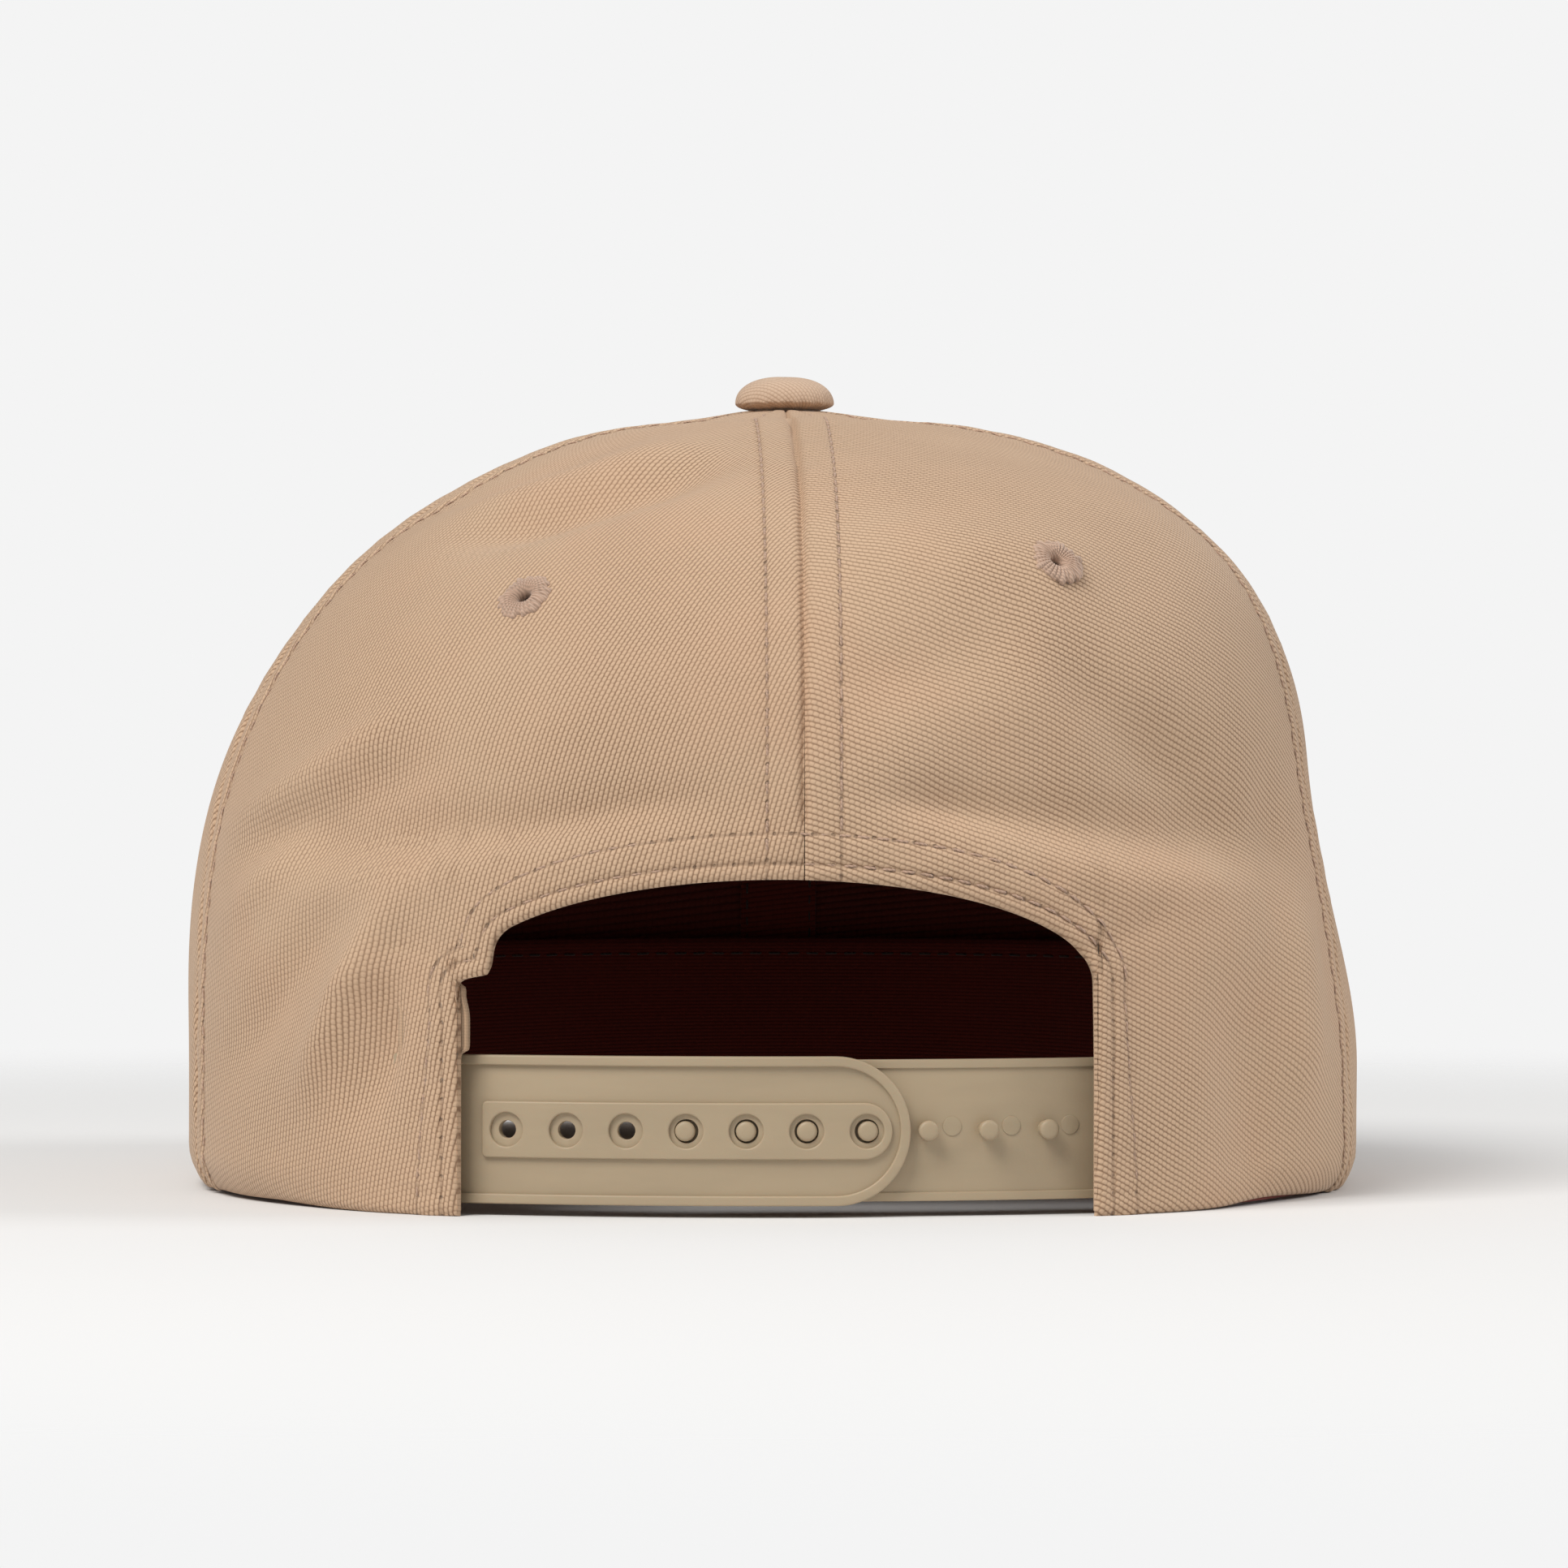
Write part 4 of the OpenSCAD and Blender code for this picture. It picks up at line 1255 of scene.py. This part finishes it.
def cotton(s, u, v, place, height, yarn, gap):
    """Yarn over gaps darkened with painted shade, with slubs across the cloth and slow random
    patches of warmer and paler tint.
    """
    # Painted shade: the lower the weave, the darker it is, so the gaps between the ribs take the
    # shaded gap colour.
    colour = s.blend(s.ramp(height, 0.05, 0.8), gap, yarn)
    stretched = s.add("ShaderNodeCombineXYZ", {0: s.times(u, 0.35), 1: s.times(v, 2.4)})
    slub = s.ramp(s.noise(stretched, 1.0, 2), 0.35, 0.75, 0.0, 0.22)
    colour = s.blend(slub, colour, tone(yarn, 0.82))
    warm = rgb(yarn[0] * 1.05, yarn[1] * 0.97, yarn[2] * 0.95)
    pale = rgb(yarn[0] * 1.03, yarn[1] * 1.05, yarn[2] * 1.06)
    shade = s.blend(s.ramp(s.noise(place, 31, 3), 0.4, 0.6), warm, pale)
    patch = s.ramp(s.noise(place, 18, 4, 0.6), 0.35, 0.65, 0.0, 0.3)
    return s.blend(patch, colour, shade)


def twill(name, angle, yarn, gap, pitch=0.72, needle=True, relief=0.00012):
    """Twill weave: diagonal ribs at an angle in degrees, with needle holes by the seams; painted
    shade darkens the gaps between the ribs, the needle holes and the stitch rows.
    """
    s = Nodes(name)
    u, v = s.uv("weave")
    place = s.place()
    height = twill_height(s, u, v, place, angle, pitch)
    colour = cotton(s, u, v, place, height, yarn, gap)
    if needle:
        hole_a, line_a = needle_holes(s, "stitch")
        hole_b, line_b = needle_holes(s, "hem")
        hole = s.math("MAXIMUM", hole_a, hole_b)
        shadow = s.math("MAXIMUM", line_a, line_b)
        # Painted shade: the needle holes and the groove along each stitch row darken the cloth
        # towards a deeper shade of the gap colour.
        dark = s.math("MAXIMUM", s.times(hole, 0.6), shadow)
        colour = s.blend(dark, colour, rgb(gap[0] * 0.45, gap[1] * 0.4, gap[2] * 0.4))
        height = s.minus(height, s.times(hole, 2.0))
    rough = s.ramp(height, 0.0, 1.0, 0.95, 0.8)
    return s.finish(colour, rough, s.bump(height, relief, 0.9), Sheen_Weight=0.22,
                    Sheen_Roughness=0.45, Sheen_Tint=rgb(1.0, 0.9, 0.8),
                    Specular_IOR_Level=0.25)


def thread(name, colour):
    """Twisted sewing thread, with painted shade in the grooves of its twist."""
    s = Nodes(name)
    place = s.place()
    twist = s.add("ShaderNodeTexWave", {"Vector": place, "Scale": 900.0, "Distortion": 1.2},
                  output=1, bands_direction="DIAGONAL")
    # Painted shade: the grooves of the twist are darkened in colour, along with the bump.
    shade = s.blend(s.ramp(twist, 0.1, 0.8), tone(colour, 0.68), colour)
    worn = s.ramp(s.noise(place, 400, 2), 0.3, 0.7, 0.0, 0.35)
    shade = s.blend(worn, shade, tone(colour, 1.12))
    return s.finish(shade, 0.62, s.bump(twist, 0.00006, 0.7), Sheen_Weight=0.25,
                    Specular_IOR_Level=0.35)


def plastic(name, colour):
    """Satin moulded plastic with a fine grain and faint flow marks."""
    s = Nodes(name)
    place = s.place()
    streaks = s.add("ShaderNodeMapping", {"Vector": place, "Scale": (12.0, 12.0, 60.0)})
    flow = s.ramp(s.noise(streaks, 3.0, 3), 0.3, 0.7)
    grain = s.noise(place, 2200, 3, 0.6)
    shade = s.blend(flow, tone(colour, 0.955), tone(colour, 1.03))
    dust = s.ramp(s.noise(place, 700, 4, 0.7), 0.66, 0.8, 0.0, 0.25)
    shade = s.blend(dust, shade, tone(colour, 0.75))
    rough = s.ramp(s.noise(place, 90, 3), 0.3, 0.7, 0.42, 0.54)
    return s.finish(shade, rough, s.bump(grain, 0.00003, 0.5), Specular_IOR_Level=0.45,
                    Subsurface_Weight=0.08, Subsurface_Scale=0.001)


def ribbed(name, colour, ribs, relief=0.0001):
    """Woven tape or band: fine cross ribs, with painted shade in the grooves between them."""
    s = Nodes(name)
    place = s.place()
    u, v = s.uv("weave")
    rib = s.math("ABSOLUTE", s.math("SINE", s.times(v, math.pi / ribs)))
    pick = s.math("ABSOLUTE", s.math("SINE", s.times(u, math.pi / (ribs * 0.8))))
    height = s.times(rib, s.plus(0.6, s.times(pick, 0.4)))
    height = s.plus(height, s.times(s.noise(place, 2400, 2), 0.3))
    # Painted shade: the low parts between the ribs are darkened to half the colour.
    shade = s.blend(s.ramp(height, 0.1, 0.9), tone(colour, 0.5), colour)
    faded = s.ramp(s.noise(place, 25, 3), 0.3, 0.7, 0.0, 0.3)
    shade = s.blend(faded, shade, tone(colour, 1.35))
    return s.finish(shade, 0.92, s.bump(height, relief, 0.8), Sheen_Weight=0.15,
                    Specular_IOR_Level=0.2)


def plain(name, colour, roughness, scale=900.0, relief=0.00005, metallic=0.0):
    """Simple stock with grain, for metal, board, felt and label."""
    s = Nodes(name)
    place = s.place()
    grain = s.noise(place, scale, 4, 0.65)
    shade = s.blend(s.ramp(grain, 0.3, 0.7), tone(colour, 0.85), colour)
    rough = s.ramp(s.noise(place, 60, 3), 0.3, 0.7, roughness * 0.85, roughness)
    return s.finish(shade, rough, s.bump(grain, relief, 0.6), Metallic=metallic)


YARN = rgb(0.60, 0.415, 0.275)
# GAP is the yarn's colour in painted shade, for the gaps between the ribs and round the needle
# holes.
GAP = rgb(0.235, 0.135, 0.078)
TWILL_RIGHT = twill("twill_right", 153, YARN, GAP)
TWILL_LEFT = twill("twill_left", 78, YARN, GAP)
TWILL_SIDE_RIGHT = twill("twill_side_right", 128, YARN, GAP)
TWILL_SIDE_LEFT = twill("twill_side_left", 52, YARN, GAP)
TWILL_FRONT = twill("twill_front", 116, YARN, GAP)
TWILL_VISOR = twill("twill_visor", 62, YARN, GAP)
TWILL_BUTTON = twill("twill_button", 40, rgb(0.60, 0.43, 0.31), rgb(0.42, 0.28, 0.19), 0.62,
                     needle=False, relief=0.00008)
FACING = ribbed("facing_rib", rgb(0.50, 0.34, 0.22), 0.5)
LINING = ribbed("lining_rib", rgb(0.14, 0.018, 0.010), 0.55)
TAPE = ribbed("tape_rib", rgb(0.14, 0.021, 0.012), 0.8)
BUCKRAM = ribbed("buckram_mesh", rgb(0.13, 0.024, 0.015), 1.1, 0.0003)
THREAD = thread("thread_tan", rgb(0.50, 0.33, 0.235))
THREAD_EYELET = thread("thread_eyelet", rgb(0.55, 0.375, 0.275))
THREAD_DARK = thread("thread_dark", rgb(0.05, 0.025, 0.018))
PLASTIC = plastic("strap_plastic", rgb(0.41, 0.318, 0.207))
LABEL = plain("label_satin", rgb(0.78, 0.77, 0.74), 0.5)
BOARD = plain("visor_board", rgb(0.75, 0.75, 0.73), 0.6)
FELT = plain("felt_core", rgb(0.62, 0.60, 0.56), 0.95, 500.0, 0.0003)
METAL = plain("zinc_plate", rgb(0.62, 0.61, 0.59), 0.35, 300.0, 0.00002, 1.0)

# ---- crown ---------------------------------------------------------------------------

rear_right = rear_panel("cloth_rear_right", "rear_panel_right", 1, TWILL_RIGHT,
                        EYELETS["rear_right"])
rear_left = rear_panel("cloth_rear_left", "rear_panel_left", -1, TWILL_LEFT,
                       EYELETS["rear_left"])
side_right = full_panel("cloth_side_right", "side_panel_right", SIDE_SEAM, FRONT_SEAM,
                        TWILL_SIDE_RIGHT, EYELETS["side_right"])
side_left = full_panel("cloth_side_left", "side_panel_left", 360 - FRONT_SEAM,
                       360 - SIDE_SEAM, TWILL_SIDE_LEFT, EYELETS["side_left"])
front_right = full_panel("cloth_front_right", "front_panel_right", FRONT_SEAM, 180,
                         TWILL_FRONT, EYELETS["front_right"])
front_left = full_panel("cloth_front_left", "front_panel_left", 180, 360 - FRONT_SEAM,
                        TWILL_FRONT, EYELETS["front_left"])
for place, (phi, z) in EYELETS.items():
    eyelet("embroidered_eyelet_" + place, "eyelet_" + place, phi, z)
button_cover()

ARCH_TOP_ROW = float(row_at(BACK_SEAM, ARCH_SIDE + ARCH_RISE + 1.0))
stitches("topstitch_back_seam", [
    seam_path(rear_right, True, True, end_row=ARCH_TOP_ROW),
    seam_path(rear_left, False, True, end_row=ARCH_TOP_ROW)], THREAD)
stitches("topstitch_side_seams", [
    seam_path(rear_right, False, True), seam_path(side_right, True, False),
    seam_path(rear_left, True, True), seam_path(side_left, False, False)], THREAD)
stitches("topstitch_front_seams", [
    seam_path(side_right, False, False), seam_path(front_right, True, False),
    seam_path(side_left, True, False), seam_path(front_left, False, False),
    seam_path(front_right, False, False), seam_path(front_left, True, False)], THREAD)
stitches("topstitch_opening", [
    opening_path(0, 0.215, 0.785), opening_path(1, 0.185, 0.815),
    opening_path(1, 0.012, 0.185), opening_path(1, 0.815, 0.988)], THREAD)

for name, phi, last in (("back", BACK_SEAM, 0.76), ("side_right", SIDE_SEAM, 0.97),
                        ("side_left", 360 - SIDE_SEAM, 0.97), ("front", 180.0, 0.97),
                        ("front_right", FRONT_SEAM, 0.97), ("front_left", 360 - FRONT_SEAM, 0.97)):
    seam_tape(name, phi, last)
arch_facing()
sweatband()
buckram("buckram_mesh_right", "buckram_right", FRONT_SEAM + 3, 178.5)
buckram("buckram_mesh_left", "buckram_left", 181.5, 360 - FRONT_SEAM - 3)
care_label()
visor()
strap_with_holes(STRAP_R)
strap_with_pegs(STRAP_R - STRAP_GAP - STRAP_T)
for node in ("button_shell", "button_rivet", "button_washer"):
    finish_node(node, METAL)

# ---- floor, light and camera ------------------------------------------------------------


def make_floor():
    """A pale floor that fades into the background away from the cap."""
    bpy.ops.mesh.primitive_circle_add(vertices=96, radius=3.0, fill_type="NGON")
    floor = bpy.context.object
    floor.name = "floor"
    s = Nodes("floor_paint")
    s.finish(rgb(0.79, 0.79, 0.79), 0.8, None, Specular_IOR_Level=0.1)
    far = s.add("ShaderNodeVectorMath", {0: s.place()}, output=1, operation="LENGTH")
    below = s.add("ShaderNodeNewGeometry", output="Backfacing")
    share = s.math("MAXIMUM", s.ramp(far, 0.22, 0.5), below)
    clear = s.add("ShaderNodeBsdfTransparent")
    blend = s.add("ShaderNodeMixShader", {0: share, 1: s.shader.outputs[0], 2: clear})
    s.tree.links.new(blend, s.tree.nodes["Material Output"].inputs[0])
    floor.data.materials.append(s.material)


def area_light(name, place, aim, size, power, colour=(1, 1, 1)):
    """A square soft light, aimed at a point."""
    data = bpy.data.lights.new(name, "AREA")
    data.energy, data.size, data.color = power, size, colour
    light = bpy.data.objects.new(name, data)
    light.location = place
    light.rotation_mode = "QUATERNION"
    light.rotation_quaternion = (Vector(aim) - Vector(place)).to_track_quat("-Z", "Y")
    bpy.context.scene.collection.objects.link(light)
    return light


def make_world(strength):
    """An even pale background, which lights the cap more weakly than the camera sees it."""
    world = bpy.data.worlds.new("studio")
    bpy.context.scene.world = world
    world.use_nodes = True
    tree = world.node_tree
    back = tree.nodes["Background"]
    back.inputs["Color"].default_value = rgb(0.905, 0.905, 0.905)
    seen = tree.nodes.new("ShaderNodeLightPath").outputs["Is Camera Ray"]
    level = tree.nodes.new("ShaderNodeMapRange")
    level.inputs["To Min"].default_value = strength
    tree.links.new(seen, level.inputs["Value"])
    tree.links.new(level.outputs[0], back.inputs["Strength"])


def make_camera():
    """Level behind the cap at half its height, a little over a metre away."""
    data = bpy.data.cameras.new("camera")
    data.sensor_width = 36.0
    data.lens = 164.6
    camera = bpy.data.objects.new("camera", data)
    camera.location = (0.0, -1.05, 0.062)
    aim = Vector((0.00095, 0.0, 0.0577))
    camera.rotation_mode = "QUATERNION"
    camera.rotation_quaternion = (aim - camera.location).to_track_quat("-Z", "Y")
    bpy.context.scene.collection.objects.link(camera)
    bpy.context.scene.camera = camera


make_floor()
make_world(0.47)
area_light("key", (-0.8, -1.0, 1.55), (0, 0, 0.06), 1.0, 30.0, (1.0, 0.985, 0.96))
area_light("side", (1.4, -0.1, 0.9), (0, 0, 0.06), 0.6, 8.5)
# a weak light on the floor inside the cap, so that its inside isn't black
area_light("under", (0, 0.03, 0.0005), (0, 0.03, 1.0), 0.14, 0.008).visible_camera = False
make_camera()
bpy.context.scene.view_settings.view_transform = "Standard"
